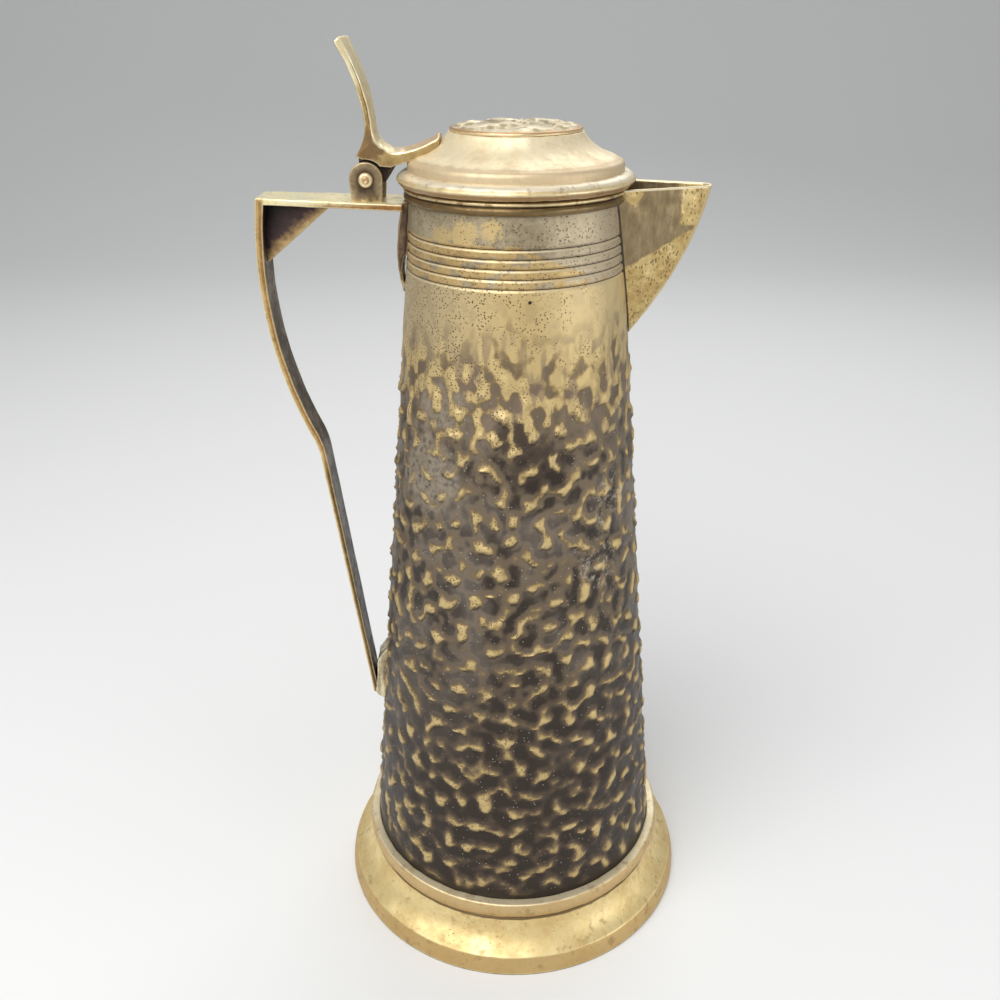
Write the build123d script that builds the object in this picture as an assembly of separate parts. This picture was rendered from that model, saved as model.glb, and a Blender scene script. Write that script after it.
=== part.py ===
"""Lidded brass jug: a tapered beaten body on a spun foot, with a V spout, a strap handle and a
hinged lid worked by a thumb lever.

Millimetres. The origin is the centre of the foot's underside, +Z is up, the spout points along +X,
the handle along -X, and the lid's hinge pin lies along Y. The lid is modelled closed.
"""
import os
from math import cos, radians, sin, tan

from build123d import *

os.makedirs("parts", exist_ok=True)

# Body: a tapered sheet cone with a grooved neck
rim_height = 311.2
rim_radius = 37.5
body_foot_radius = 63.3
body_wall = 1.2
groove_count = 5
groove_pitch = 3.23
groove_top_drop = 15.5
groove_width = 1.2
groove_depth = 0.45

# Foot: a spun ring that the body stands in
foot_height = 29.5
foot_flare = 13.7
foot_band_height = 8.3
foot_band_inset = 1.9
foot_band_swell = 0.5
foot_bead_height = 7.9
foot_bead_overhang = 4.4
foot_bead_swell = 0.9
cavetto_overhang = 2.9
cavetto_depth = 2.1
foot_wall = 2.4
foot_rest_width = 5.0
socket_depth = 2.0
ledge_width = 3.6
ledge_thickness = 3.0

# Bottom plate: a dished disc soldered inside the body
bottom_thickness = 1.5
bottom_flange = 5.0
bottom_rise = 2.0

# Mouth ring: a collar with two beads round the neck's rim
collar_height = 4.6
collar_thickness = 1.7
collar_lower_bead = 2.8
collar_bead_swell = 0.8

# Spout: one folded sheet, a V in plan with a rounded keel that bows down to the neck
spout_rim_drop = 0.1
spout_length = 32.1
spout_depth = 54.1
spout_bow = 4.2
spout_half_angle = 18.5
spout_nose_radius = 5.0
spout_nose_foot_radius = 5.8
spout_wall = 1.2
spout_overrun = 3.0
spout_root_inset = 7.5
spout_stations = 7
window_margin = 2.6
window_depth = 41.1

# Handle: one strap bent into an arm, a bowed grip, an elbow and a straight leg
arm_root_drop = 5.6
arm_rise = 1.8
arm_length = 54.6
arm_thickness = 2.3
arm_outer_width = 15.2
arm_root_width = 23.0
arm_corner_bevel = 0.8
grip_head_drop = 4.0
grip_head_offset = 0.3
grip_bow = 1.8
grip_bow_drop = 25.4
grip_thickness = 3.2
grip_bow_thickness = 2.9
grip_bow_shift = 4.0
elbow_drop = 95.4
elbow_setback = 14.7
elbow_radius = 30.0
leg_drop = 119.4
leg_stand = 4.9
leg_thickness = 2.3
leg_end_bevel = 0.6
grip_head_width = 15.0
elbow_width = 12.6
leg_end_width = 10.2

# Handle fittings: a corner web, a leaf-shaped tongue on the neck and a wedge on the body
gusset_run = 23.5
gusset_drop = 21.5
gusset_thickness = 1.6
tongue_rise = 0.7
tongue_length = 33.8
tongue_shoulder_drop = 17.3
tongue_half_width = 7.6
tongue_thickness = 1.8
tongue_bow = 1.9
tongue_foot_thickness = 0.5
tongue_leaf_swell = 1.2
tongue_hollow_rise = 3.5
tongue_hollow_length = 12.0
tongue_hollow_depth = 0.9
wedge_rise = 23.0
wedge_drop = 2.6
wedge_shoulder_rise = 17.5
wedge_stand = 3.9
wedge_seat_rise = 4.4
wedge_width = 11.6
wedge_crest = 0.7

# Hinge: two lugs on the arm, a plain pin and a domed collar at each end of it
pin_offset = 15.0
pin_rise = 7.8
pin_radius = 1.3
pin_press = 0.01
pin_running_fit = 0.05
lug_radius = 5.9
lug_foot_half_width = 5.2
lug_thickness = 2.6
knuckle_width = 8.2
knuckle_gap = 0.3
knuckle_web_back = 2.4
knuckle_web_forward = 10.4
knuckle_web_rise = 4.6
knuckle_heel_forward = 6.4
knuckle_heel_drop = 1.4
hinge_side_gap = 0.3
pin_collar_radius = 2.6
pin_collar_thickness = 1.0
pin_collar_dome = 0.15
pin_proud = 0.5

# Lid: a spun cap with a heavy rim, a beaten disc on top and a locating flange inside
lid_clearance = 0.4
lid_overhang = 0.8
lid_wall = 1.2
lid_skirt_height = 6.5
lid_shoulder_width = 1.7
lid_shoulder_rise = 2.0
lid_shoulder_swell = 0.5
lid_slope_width = 2.1
lid_slope_rise = 1.1
lid_flare_width = 10.9
lid_flare_rise = 8.1
lid_flare_depth = 1.4
lid_top_ledge = 4.0
lid_rim_width = 3.9
lid_rim_foot_width = 2.6
lid_rim_widest = 2.1
lid_rim_height = 4.8
lid_rim_nose = 1.0
lid_rim_nose_swell = 0.5
disc_edge = 1.5
disc_crown = 1.7
disc_overhang = 0.3
flange_clearance = 0.6
flange_wall = 1.1
flange_depth = 5.0
flange_step = 1.3

# Thumb lever, measured from the pin: one casting from the thumb plate over the hinge to the lid
lever_width = 14.0
lever_thickness = 2.7
lever_lug_gap = 0.9
thumb_width = 20.0
thumb_tip_back = 7.7
thumb_tip_rise = 44.2
thumb_edge_width = 2.2
thumb_edge_rise = 1.7
thumb_curve = 1.5
thumb_neck_forward = 0.7
thumb_neck_rise = 18.6
thumb_flare_rise = 16.6
thumb_flare_curve = 1.2
heel_back = 3.1
heel_rise = 7.8
heel_hollow = 0.9
saddle_forward = 9.5
saddle_rise = 9.8
saddle_hollow = 2.1
under_forward = 9.0
under_rise = 4.2
lever_end_forward = 26.1
lever_end_rise = 15.8
lever_end_depth = 6.5
lever_arm_hollow = 1.4
lever_crown = 3.5
sweep_start_turn = 8
sweep_middle_turn = -20
sweep_end_turn = -48

body_taper = (body_foot_radius - rim_radius) / (rim_height - foot_height)
socket_height = foot_height - socket_depth
collar_foot_height = rim_height - collar_height
spout_top_height = rim_height - spout_rim_drop
spout_foot_height = spout_top_height - spout_depth
arm_root_height = rim_height - arm_root_drop
arm_corner_height = arm_root_height + arm_rise
arm_reach = rim_radius + arm_length
elbow_height = arm_corner_height - elbow_drop
leg_end_height = elbow_height - leg_drop
pin_x = -(rim_radius + pin_offset)
pin_height = arm_root_height + pin_rise
lug_inner_y = knuckle_width / 2 + hinge_side_gap
lug_outer_y = lug_inner_y + lug_thickness
knuckle_radius = lug_radius - knuckle_gap
lever_sweep_radius = lug_radius + lever_lug_gap
lid_foot_height = rim_height + lid_clearance
lid_band_radius = rim_radius + lid_overhang
lid_flare_foot_radius = lid_band_radius - lid_shoulder_width - lid_slope_width
lid_flare_foot_height = lid_foot_height + lid_skirt_height + lid_shoulder_rise + lid_slope_rise
lid_top_radius = lid_flare_foot_radius - lid_flare_width
lid_top_height = lid_flare_foot_height + lid_flare_rise
flange_radius = rim_radius - body_wall - flange_clearance


def body_radius(height):
    """Outer radius of the body's cone at a height."""
    return rim_radius + body_taper * (rim_height - height)


def turned(outline):
    """Solid of revolution of a closed outline drawn as (radius, height)."""
    return revolve(Plane.XZ * make_face(outline), Axis.Z, 360)


def slab(outline, width):
    """Plate centred on the jug's plane of symmetry, from a closed outline drawn as (x, height)."""
    return extrude(Plane.XZ * make_face(outline), width / 2, both=True)


def front_prism(outline, near_x, far_x):
    """Prism along X between two stations, from a closed outline drawn as (y, height)."""
    return extrude(Plane.YZ.offset(near_x) * make_face(outline), far_x - near_x)


def cone(inset, low, high):
    """Solid cone on the body's taper, drawn in by a wall, between two heights."""
    return turned(Polyline((0, low), (body_radius(low) - inset, low), (body_radius(high) - inset, high),
                           (0, high), close=True))


def arm_top(x):
    """Height of the arm's upper face at a station."""
    return arm_root_height + arm_rise * (-x - rim_radius) / arm_length


def keel_reach(height):
    """Reach of the spout's keel at a height: a straight fall to the neck plus its bow."""
    share = (height - spout_foot_height) / spout_depth
    root = body_radius(spout_foot_height)
    return root + (rim_radius + spout_length - root) * share + 4 * spout_bow * share * (1 - share)


def spout_section(height, inset):
    """Plan of the spout at a height, drawn in by a wall: two straight sides and a round nose."""
    share = (spout_top_height - height) / spout_depth
    nose = spout_nose_radius + (spout_nose_foot_radius - spout_nose_radius) * share
    centre = keel_reach(height) - nose
    lean = radians(spout_half_angle)
    touch_x = centre + (nose - inset) * sin(lean)
    touch_y = (nose - inset) * cos(lean)
    root_x = rim_radius - spout_root_inset
    root_y = touch_y + (touch_x - root_x) * tan(lean)
    outline = [Line((root_x, root_y), (touch_x, touch_y)),
               ThreePointArc((touch_x, touch_y), (centre + nose - inset, 0), (touch_x, -touch_y)),
               Line((touch_x, -touch_y), (root_x, -root_y)),
               Line((root_x, -root_y), (root_x, root_y))]
    return Plane.XY.offset(height) * make_face(outline)


def spout_form(inset, low=spout_foot_height - spout_overrun):
    """Solid of the spout's outside, drawn in by a wall, from a height to above its rim."""
    high = spout_top_height + spout_overrun
    step = (high - low) / (spout_stations - 1)
    return loft([spout_section(low + step * i, inset) for i in range(spout_stations)])


def make_body_shell():
    """Tapered shell, open at both ends, grooved round the neck and cut away behind the spout."""
    low = socket_height
    shell = cone(0, low, rim_height) - cone(body_wall, low, rim_height)
    round_radius = (groove_width ** 2 / 4 + groove_depth ** 2) / (2 * groove_depth)
    for i in range(groove_count):
        height = rim_height - groove_top_drop - groove_pitch * i
        groove_centre = body_radius(height) - groove_depth + round_radius
        shell -= revolve(Plane.XZ * Pos(groove_centre, height) * Circle(round_radius), Axis.Z, 360)
    return shell - spout_form(window_margin, spout_top_height - window_depth)


def make_foot_ring():
    """Spun foot: rest band, hollow moulding, step bead and the socket that takes the body."""
    foot_radius = body_foot_radius + foot_flare
    bead_radius = body_foot_radius + foot_bead_overhang
    cavetto_radius = body_foot_radius + cavetto_overhang
    cavetto_height = foot_height - foot_bead_height
    arris = (foot_radius - foot_band_inset, foot_band_height)
    band_mid = (foot_radius - foot_band_inset / 2 + foot_band_swell, foot_band_height / 2)
    neck = (cavetto_radius, cavetto_height)
    bead_foot = (bead_radius - foot_bead_swell, cavetto_height)
    bead_top = (bead_radius - foot_bead_swell, foot_height)
    bead_mid = (bead_radius, (cavetto_height + foot_height) / 2)
    socket_radius = body_radius(foot_height)
    ledge_radius = body_radius(socket_height) - ledge_width
    under = socket_height - ledge_thickness
    rest_radius = foot_radius - foot_rest_width
    inner_neck = (cavetto_radius - foot_wall, cavetto_height - foot_wall)
    outline = [ThreePointArc((foot_radius, 0), band_mid, arris),
               SagittaArc(arris, neck, cavetto_depth),
               Line(neck, bead_foot),
               ThreePointArc(bead_foot, bead_mid, bead_top),
               Line(bead_top, (socket_radius, foot_height)),
               Line((socket_radius, foot_height), (body_radius(socket_height), socket_height)),
               Line((body_radius(socket_height), socket_height), (ledge_radius, socket_height)),
               Line((ledge_radius, socket_height), (ledge_radius, under)),
               Line((ledge_radius, under), inner_neck),
               SagittaArc(inner_neck, (rest_radius, foot_wall), -cavetto_depth),
               Line((rest_radius, foot_wall), (rest_radius, 0)),
               Line((rest_radius, 0), (foot_radius, 0))]
    return turned(outline)


def make_base_plate():
    """Dished bottom with an upturned edge that follows the inside of the body."""
    seat = body_radius(socket_height) - body_wall
    crest_height = socket_height + bottom_thickness + bottom_flange
    crest = body_radius(crest_height) - body_wall
    step_height = socket_height + bottom_thickness
    step = body_radius(step_height) - body_wall - bottom_thickness
    ledge = body_radius(socket_height) - ledge_width
    outline = [Line((0, socket_height + bottom_rise), (0, step_height + bottom_rise)),
               Line((0, step_height + bottom_rise), (ledge, step_height)),
               Line((ledge, step_height), (step, step_height)),
               Line((step, step_height), (crest - bottom_thickness, crest_height)),
               Line((crest - bottom_thickness, crest_height), (crest, crest_height)),
               Line((crest, crest_height), (seat, socket_height)),
               Line((seat, socket_height), (ledge, socket_height)),
               Line((ledge, socket_height), (0, socket_height + bottom_rise))]
    return turned(outline)


def make_mouth_ring():
    """Collar round the neck with two half-round beads, cut away where the spout passes."""
    collar_radius = rim_radius + collar_thickness
    split_height = collar_foot_height + collar_lower_bead
    lower_mid = (collar_radius + collar_bead_swell, (collar_foot_height + split_height) / 2)
    upper_mid = (collar_radius + collar_bead_swell, (split_height + rim_height) / 2)
    outline = [Line((body_radius(collar_foot_height), collar_foot_height),
                    (collar_radius, collar_foot_height)),
               ThreePointArc((collar_radius, collar_foot_height), lower_mid,
                             (collar_radius, split_height)),
               ThreePointArc((collar_radius, split_height), upper_mid, (collar_radius, rim_height)),
               Line((collar_radius, rim_height), (rim_radius, rim_height)),
               Line((rim_radius, rim_height), (body_radius(collar_foot_height), collar_foot_height))]
    return turned(outline) - spout_form(0)


def make_spout():
    """Folded sheet, open at the top and towards the neck, trimmed to the body's taper."""
    sheet = spout_form(0) - spout_form(spout_wall)
    sheet = split(sheet, Plane.XY.offset(spout_top_height), keep=Keep.BOTTOM)
    return sheet - cone(0, socket_height, rim_height)


def strap_outline():
    """Side outline of the strap: arm, bevelled corner, bowed grip, elbow and straight leg."""
    root = -(body_radius(arm_root_height) + tongue_thickness)
    corner_x = -arm_reach + arm_corner_bevel
    corner = (corner_x, arm_top(corner_x))
    bevel_foot = (-arm_reach, arm_corner_height - arm_corner_bevel)
    head =(-arm_reach - grip_head_offset, arm_corner_height - grip_head_drop)
    bow = (-arm_reach - grip_bow, arm_corner_height - grip_bow_drop)
    elbow = (-arm_reach + elbow_setback, elbow_height)
    leg_x = -body_radius(leg_end_height) - leg_stand
    leg_end = (leg_x, leg_end_height + leg_thickness / 2)
    leg_tip = (leg_x + leg_end_bevel, leg_end_height)
    inner_end = (leg_x + leg_thickness, leg_end_height + leg_end_bevel)
    inner_elbow = (elbow[0] + leg_thickness, elbow_height + leg_thickness / 2)
    inner_bow = (bow[0] + grip_bow_thickness, bow[1] - grip_bow_shift)
    inner_head_x = head[0] + grip_thickness
    inner_head = (inner_head_x, arm_top(inner_head_x) - arm_thickness)
    return [Polyline((root, arm_top(root)), corner, bevel_foot, head),
            ThreePointArc(head, bow, elbow),
            Polyline(elbow, leg_end, leg_tip, inner_end, inner_elbow),
            ThreePointArc(inner_elbow, inner_bow, inner_head),
            Polyline(inner_head, (root, arm_top(root) - arm_thickness), (root, arm_top(root)))]


def make_handle_strap(tongue):
    """The strap, broad at the arm's root, where it butts on the tongue, and narrowing downwards."""
    side = make_face(strap_outline())
    elbow = side.vertices().filter_by_position(Axis.Y, elbow_height - leg_thickness,
                                               elbow_height + leg_thickness)
    side = fillet(elbow, elbow_radius)
    strap = extrude(Plane.XZ * side, arm_root_width, both=True)
    root = -body_radius(arm_root_height)
    outer_x = -arm_reach - 2 * grip_bow
    arm_plan = Polyline((outer_x, -arm_outer_width / 2), (root, -arm_root_width / 2),
                        (root, arm_root_width / 2), (outer_x, arm_outer_width / 2), close=True)
    arm_low = arm_root_height - 2 * arm_thickness
    arm_band = extrude(Plane.XY.offset(arm_low) * make_face(arm_plan), arm_corner_height - arm_low)
    grip_front = Polyline((-leg_end_width / 2, leg_end_height), (-elbow_width / 2, elbow_height),
                          (-grip_head_width / 2, arm_corner_height),
                          (grip_head_width / 2, arm_corner_height), (elbow_width / 2, elbow_height),
                          (leg_end_width / 2, leg_end_height), close=True)
    grip_band = front_prism(grip_front, outer_x, -body_radius(leg_end_height))
    return (strap & arm_band) + (strap & grip_band) - tongue


def make_handle_gusset(strap):
    """Thin triangular web in the corner between the arm and the grip."""
    corner_x = -arm_reach - grip_head_offset + grip_thickness
    run_x = corner_x + gusset_run
    drop_height = arm_corner_height - arm_thickness - gusset_drop
    drop_x = -arm_reach - grip_bow + grip_thickness
    outline = Polyline((corner_x - grip_thickness / 2, arm_corner_height - arm_thickness / 2),
                       (run_x, arm_top(run_x) - arm_thickness / 2), (run_x, arm_top(run_x) - arm_thickness),
                       (drop_x, drop_height), (drop_x - grip_thickness / 2, drop_height), close=True)
    return slab(outline, gusset_thickness) - strap


def make_handle_tongue():
    """Leaf-shaped plate behind the arm's end, flat on the neck, hollow behind its pointed foot."""
    top_height = arm_root_height + tongue_rise
    tip_height = top_height - tongue_length
    shoulder_height = top_height - tongue_shoulder_drop
    hollow_foot = tip_height + tongue_hollow_rise
    hollow_top = hollow_foot + tongue_hollow_length
    top_x = -(body_radius(arm_root_height) + tongue_thickness)
    tip_x = -body_radius(tip_height) - tongue_foot_thickness
    inner_x = -rim_radius + body_wall
    outline = [SagittaArc((top_x, top_height), (tip_x, tip_height), -tongue_bow),
               Polyline((tip_x, tip_height), (inner_x, tip_height), (inner_x, hollow_foot),
                        (-body_radius(hollow_foot), hollow_foot)),
               SagittaArc((-body_radius(hollow_foot), hollow_foot), (-body_radius(hollow_top), hollow_top),
                          tongue_hollow_depth),
               Polyline((-body_radius(hollow_top), hollow_top), (inner_x, hollow_top),
                        (inner_x, top_height), (top_x, top_height))]
    side = tongue_half_width
    tip = (0, tip_height)
    leaf = [Line((-side, top_height), (side, top_height)),
            Line((side, top_height), (side, shoulder_height)),
            SagittaArc((side, shoulder_height), tip, tongue_leaf_swell),
            SagittaArc(tip, (-side, shoulder_height), tongue_leaf_swell),
            Line((-side, shoulder_height), (-side, top_height))]
    plate = slab(outline, 3 * side) & front_prism(leaf, tip_x - 2 * tongue_bow, 0)
    return plate - cone(0, socket_height, rim_height)


def make_handle_wedge(strap):
    """Wedge that stands off the body and carries the leg's end."""
    leg_x = -body_radius(leg_end_height) - leg_stand
    top_height = leg_end_height + wedge_rise
    low_height = leg_end_height - wedge_drop
    seat_height = leg_end_height + wedge_seat_rise
    shoulder_height = leg_end_height + wedge_shoulder_rise
    top_x = -body_radius(top_height)
    foot_x = -body_radius(low_height)
    outline = Polyline((top_x - wedge_crest, top_height),
                       (-body_radius(shoulder_height) - wedge_stand, shoulder_height),
                       (leg_x + leg_thickness - wedge_crest, seat_height),
                       (leg_x + leg_thickness / 2, leg_end_height),
                       (leg_x + leg_thickness, leg_end_height - wedge_drop / 2),
                       (foot_x + body_wall, low_height), (top_x + body_wall, top_height), close=True)
    return slab(outline, wedge_width) - cone(0, socket_height, rim_height) - strap


def pin_hole(radius):
    """Round bar through the hinge along the pin's axis."""
    return Pos(pin_x, 0, pin_height) * Rot(90, 0, 0) * Cylinder(radius, 4 * lug_outer_y)


def make_lug(side, strap):
    """One upright lug: a round eye on a tapering foot that stands on the arm."""
    foot = arm_root_height - arm_thickness / 2
    blank = Pos(pin_x, pin_height) * Circle(lug_radius)
    blank += make_face(Polyline((pin_x - lug_radius, pin_height), (pin_x + lug_radius, pin_height),
                                (pin_x + lug_foot_half_width, foot),
                                (pin_x - lug_foot_half_width, foot), close=True))
    lug = extrude(Plane.XZ * blank, -lug_thickness * side)
    lug = Pos(0, side * lug_inner_y, 0) * lug
    return lug - pin_hole(pin_radius + pin_press) - strap


def make_hinge_pin():
    """Plain pin that stands just proud of both collars."""
    half = lug_outer_y + pin_collar_thickness + pin_proud
    return Pos(pin_x, 0, pin_height) * Rot(90, 0, 0) * Cylinder(pin_radius, 2 * half)


def make_pin_collar(side):
    """Domed collar on the outer face of a lug, round the pin's end."""
    bore = pin_radius + pin_press
    shoulder = (pin_collar_radius, pin_collar_thickness / 2)
    outline = [Line((bore, 0), (pin_collar_radius, 0)),
               Line((pin_collar_radius, 0), shoulder),
               SagittaArc(shoulder, (bore, pin_collar_thickness), -pin_collar_dome),
               Line((bore, pin_collar_thickness), (bore, 0))]
    return Pos(pin_x, side * lug_outer_y, pin_height) * Rot(-90 * side, 0, 0) * turned(outline)


def lid_line():
    """Outer line of the lid's sheet, from the skirt's foot to the ledge under the disc."""
    skirt_top = (lid_band_radius, lid_foot_height + lid_skirt_height)
    shoulder = (lid_band_radius - lid_shoulder_width, skirt_top[1] + lid_shoulder_rise)
    flare_foot = (lid_flare_foot_radius, lid_flare_foot_height)
    return [Line((lid_band_radius, lid_foot_height), skirt_top),
            SagittaArc(skirt_top, shoulder, -lid_shoulder_swell),
            Line(shoulder, flare_foot),
            SagittaArc(flare_foot, (lid_top_radius, lid_top_height), lid_flare_depth)]


def lid_form():
    """Solid inside the lid's outer line."""
    closing = Polyline((lid_top_radius, lid_top_height), (0, lid_top_height), (0, lid_foot_height),
                       (lid_band_radius, lid_foot_height))
    return turned(lid_line() + [closing])


def make_lid_shell():
    """Spun cap of even thickness, open under the disc that lies on its top ledge."""
    line = lid_line() + [Line((lid_top_radius, lid_top_height),
                              (lid_top_radius - lid_top_ledge, lid_top_height))]
    return turned(offset(Wire(line), lid_wall, side=Side.LEFT))


def make_lid_rim():
    """Heavy ring round the skirt, with a broad rounded nose at its widest."""
    widest = lid_foot_height + lid_rim_widest
    radius = lid_band_radius + lid_rim_width
    shy = radius - lid_rim_nose_swell
    inner_foot = (lid_band_radius, lid_foot_height)
    inner_top = (lid_band_radius, lid_foot_height + lid_rim_height)
    outline = [Polyline(inner_foot, (lid_band_radius + lid_rim_foot_width, lid_foot_height),
                        (shy, widest - lid_rim_nose)),
               ThreePointArc((shy, widest - lid_rim_nose), (radius, widest), (shy, widest + lid_rim_nose)),
               Polyline((shy, widest + lid_rim_nose), inner_top, inner_foot)]
    return turned(outline)


def make_lid_top_disc():
    """Thick disc, crowned on top, lying on the lid's ledge."""
    radius = lid_top_radius + disc_overhang
    edge_height = lid_top_height + disc_edge
    crown_radius = (radius ** 2 + disc_crown ** 2) / (2 * disc_crown)
    outline = [Line((0, lid_top_height), (radius, lid_top_height)),
               Line((radius, lid_top_height), (radius, edge_height)),
               RadiusArc((radius, edge_height), (0, edge_height + disc_crown), -crown_radius),
               Line((0, edge_height + disc_crown), (0, lid_top_height))]
    return turned(outline)


def make_lid_flange():
    """Locating ring that hangs inside the mouth from a step in the skirt."""
    seat = lid_band_radius - lid_wall
    inner = flange_radius - flange_wall
    foot = lid_foot_height - flange_depth
    step = lid_foot_height + flange_step
    return turned(Polyline((inner, foot), (flange_radius, foot), (flange_radius, lid_foot_height),
                           (seat, lid_foot_height), (seat, step), (inner, step), close=True))


def crowned_arm(lever, saddle, arm_end):
    """Round the lid arm's top over, from the saddle to its end, and leave the rest as it is."""
    half = lever_width / 2
    crown_radius = (half ** 2 + lever_crown ** 2) / (2 * lever_crown)
    along = Vector(arm_end.X - saddle.X, 0, arm_end.Y - saddle.Y).normalized()
    down = Vector(along.Z, 0, -along.X)
    centre = Vector(arm_end.X, 0, arm_end.Y) + down * crown_radius
    bar = Plane(origin=centre, z_dir=along) * Cylinder(crown_radius, 4 * thumb_width)
    arm_side = Pos(saddle.X, 0, 0) * Box(thumb_width * 4, thumb_width * 4, 4 * rim_height,
                                         align=(Align.MIN, Align.CENTER, Align.CENTER))
    return (lever - arm_side) + (lever & arm_side & bar)


def make_thumb_lever():
    """Curved thumb plate that widens to its tip, a saddle over the hinge and a crowned lid arm."""
    pin = Vector(pin_x, pin_height)
    tip = pin + Vector(-thumb_tip_back, thumb_tip_rise)
    tip_front = tip + Vector(thumb_edge_width, thumb_edge_rise)
    neck = pin + Vector(thumb_neck_forward, thumb_neck_rise)
    neck_front = neck + Vector(lever_thickness, 0)
    heel = pin + Vector(-heel_back, heel_rise)
    sweep = Vector(0, lever_sweep_radius)
    sweep_from = pin + sweep.rotate(Axis.Z, sweep_start_turn)
    sweep_mid = pin + sweep.rotate(Axis.Z, sweep_middle_turn)
    sweep_to = pin + sweep.rotate(Axis.Z, sweep_end_turn)
    saddle = pin + Vector(saddle_forward, saddle_rise)
    under = pin + Vector(under_forward, under_rise)
    arm_end = pin + Vector(lever_end_forward, lever_end_rise)
    arm_end_foot = arm_end - Vector(0, lever_end_depth)
    outline = [SagittaArc(tip, neck, thumb_curve),
               SagittaArc(neck, heel, heel_hollow),
               Line(heel, sweep_from),
               ThreePointArc(sweep_from, sweep_mid, sweep_to),
               Polyline(sweep_to, under, arm_end_foot, arm_end),
               SagittaArc(arm_end, saddle, lever_arm_hollow),
               SagittaArc(saddle, neck_front, saddle_hollow),
               SagittaArc(neck_front, tip_front, -thumb_curve),
               Line(tip_front, tip)]
    stem = lever_width / 2
    flare = thumb_width / 2
    flare_foot = pin_height + thumb_flare_rise
    front = [Polyline((-stem, flare_foot), (-stem, pin_height), (stem, pin_height), (stem, flare_foot)),
             SagittaArc((stem, flare_foot), (flare, tip_front.Y), thumb_flare_curve),
             Line((flare, tip_front.Y), (-flare, tip_front.Y)),
             SagittaArc((-flare, tip_front.Y), (-stem, flare_foot), thumb_flare_curve)]
    lever = slab(outline, 2 * thumb_width) & front_prism(front, tip.X - lug_radius, 0)
    return crowned_arm(lever, saddle, arm_end) - lid_form()


def make_lid_knuckle(lever):
    """Eye on the pin between the lugs, with a web up to the lever's underside."""
    web_top = pin_height + lever_sweep_radius + lever_lug_gap
    web = Polyline((pin_x - knuckle_web_back, pin_height), (pin_x - knuckle_web_back, web_top),
                   (pin_x + knuckle_web_forward, web_top),
                   (pin_x + knuckle_web_forward, pin_height + knuckle_web_rise),
                   (pin_x + knuckle_heel_forward, pin_height - knuckle_heel_drop),
                   (pin_x, pin_height - knuckle_heel_drop), close=True)
    blank = Pos(pin_x, pin_height) * Circle(knuckle_radius) + make_face(web)
    eye = extrude(Plane.XZ * blank, knuckle_width / 2, both=True)
    return eye - pin_hole(pin_radius + pin_running_fit) - lever


def check_piece(name, shape):
    """Print a piece's solids and volume."""
    print(f"{name}: {len(shape.solids())} solid(s), {shape.volume / 1000:.2f} cm3, valid {shape.is_valid}")


tongue = make_handle_tongue()
strap = make_handle_strap(tongue)
lever = make_thumb_lever()
pieces = {
    "body_shell": make_body_shell(),
    "foot_ring": make_foot_ring(),
    "base_plate": make_base_plate(),
    "mouth_ring": make_mouth_ring(),
    "spout": make_spout(),
    "handle_strap": strap,
    "handle_gusset": make_handle_gusset(strap),
    "handle_tongue": tongue,
    "handle_wedge": make_handle_wedge(strap),
    "hinge_lug_front": make_lug(-1, strap),
    "hinge_lug_rear": make_lug(1, strap),
    "hinge_pin": make_hinge_pin(),
    "pin_collar_front": make_pin_collar(-1),
    "pin_collar_rear": make_pin_collar(1),
    "lid_shell": make_lid_shell(),
    "lid_rim": make_lid_rim(),
    "lid_top_disc": make_lid_top_disc(),
    "lid_flange": make_lid_flange(),
    "thumb_lever": lever,
    "lid_knuckle": make_lid_knuckle(lever),
}
for name, shape in pieces.items():
    check_piece(name, shape)
    export_step(shape, f"parts/{name}.step")
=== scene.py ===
"""Looks of a worn brass jug with a beaten body, a V spout, a strap handle and a hinged lid.

Sizes are in millimetres in the shape functions and in metres once a mesh is made. Angles round the
jug are measured from the spout, anticlockwise from above. Every surface is worked out with numpy on
a grid, and every finish is a node material that reads object coordinates or a piece's own attribute.
"""
from math import cos, pi, radians, sin, tan

import bpy
import numpy as np
from mathutils import Matrix, Vector


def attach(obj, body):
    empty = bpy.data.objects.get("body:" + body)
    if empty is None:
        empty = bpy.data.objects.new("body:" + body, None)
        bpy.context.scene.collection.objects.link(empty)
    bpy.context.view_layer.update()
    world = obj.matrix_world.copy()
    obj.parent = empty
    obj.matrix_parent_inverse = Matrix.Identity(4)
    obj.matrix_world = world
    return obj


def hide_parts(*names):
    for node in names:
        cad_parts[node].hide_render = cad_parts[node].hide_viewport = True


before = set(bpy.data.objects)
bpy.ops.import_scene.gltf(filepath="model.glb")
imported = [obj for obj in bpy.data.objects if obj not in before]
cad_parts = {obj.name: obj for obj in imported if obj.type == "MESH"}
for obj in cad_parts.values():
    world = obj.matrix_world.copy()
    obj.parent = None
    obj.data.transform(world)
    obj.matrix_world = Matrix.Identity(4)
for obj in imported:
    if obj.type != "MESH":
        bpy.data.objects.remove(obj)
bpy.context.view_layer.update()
MM = 0.001

# Camera, solved from the photograph's round edges
CAMERA_PLACE = (0.0, -0.36908, 0.36585)
CAMERA_PITCH = 25.977
CAMERA_YAW = -0.918
CAMERA_ROLL = -0.135
FOCAL_PIXELS = 1000.0
FRAME_PIXELS = 1000.0
SENSOR_WIDTH = 36.0

# Mesh making
WELD = 0.0005
SHARP_ANGLE = 48
LATHE_COLUMNS = 208
LATHE_STEP = 0.42
EASE_REACH = 0.3

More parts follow.
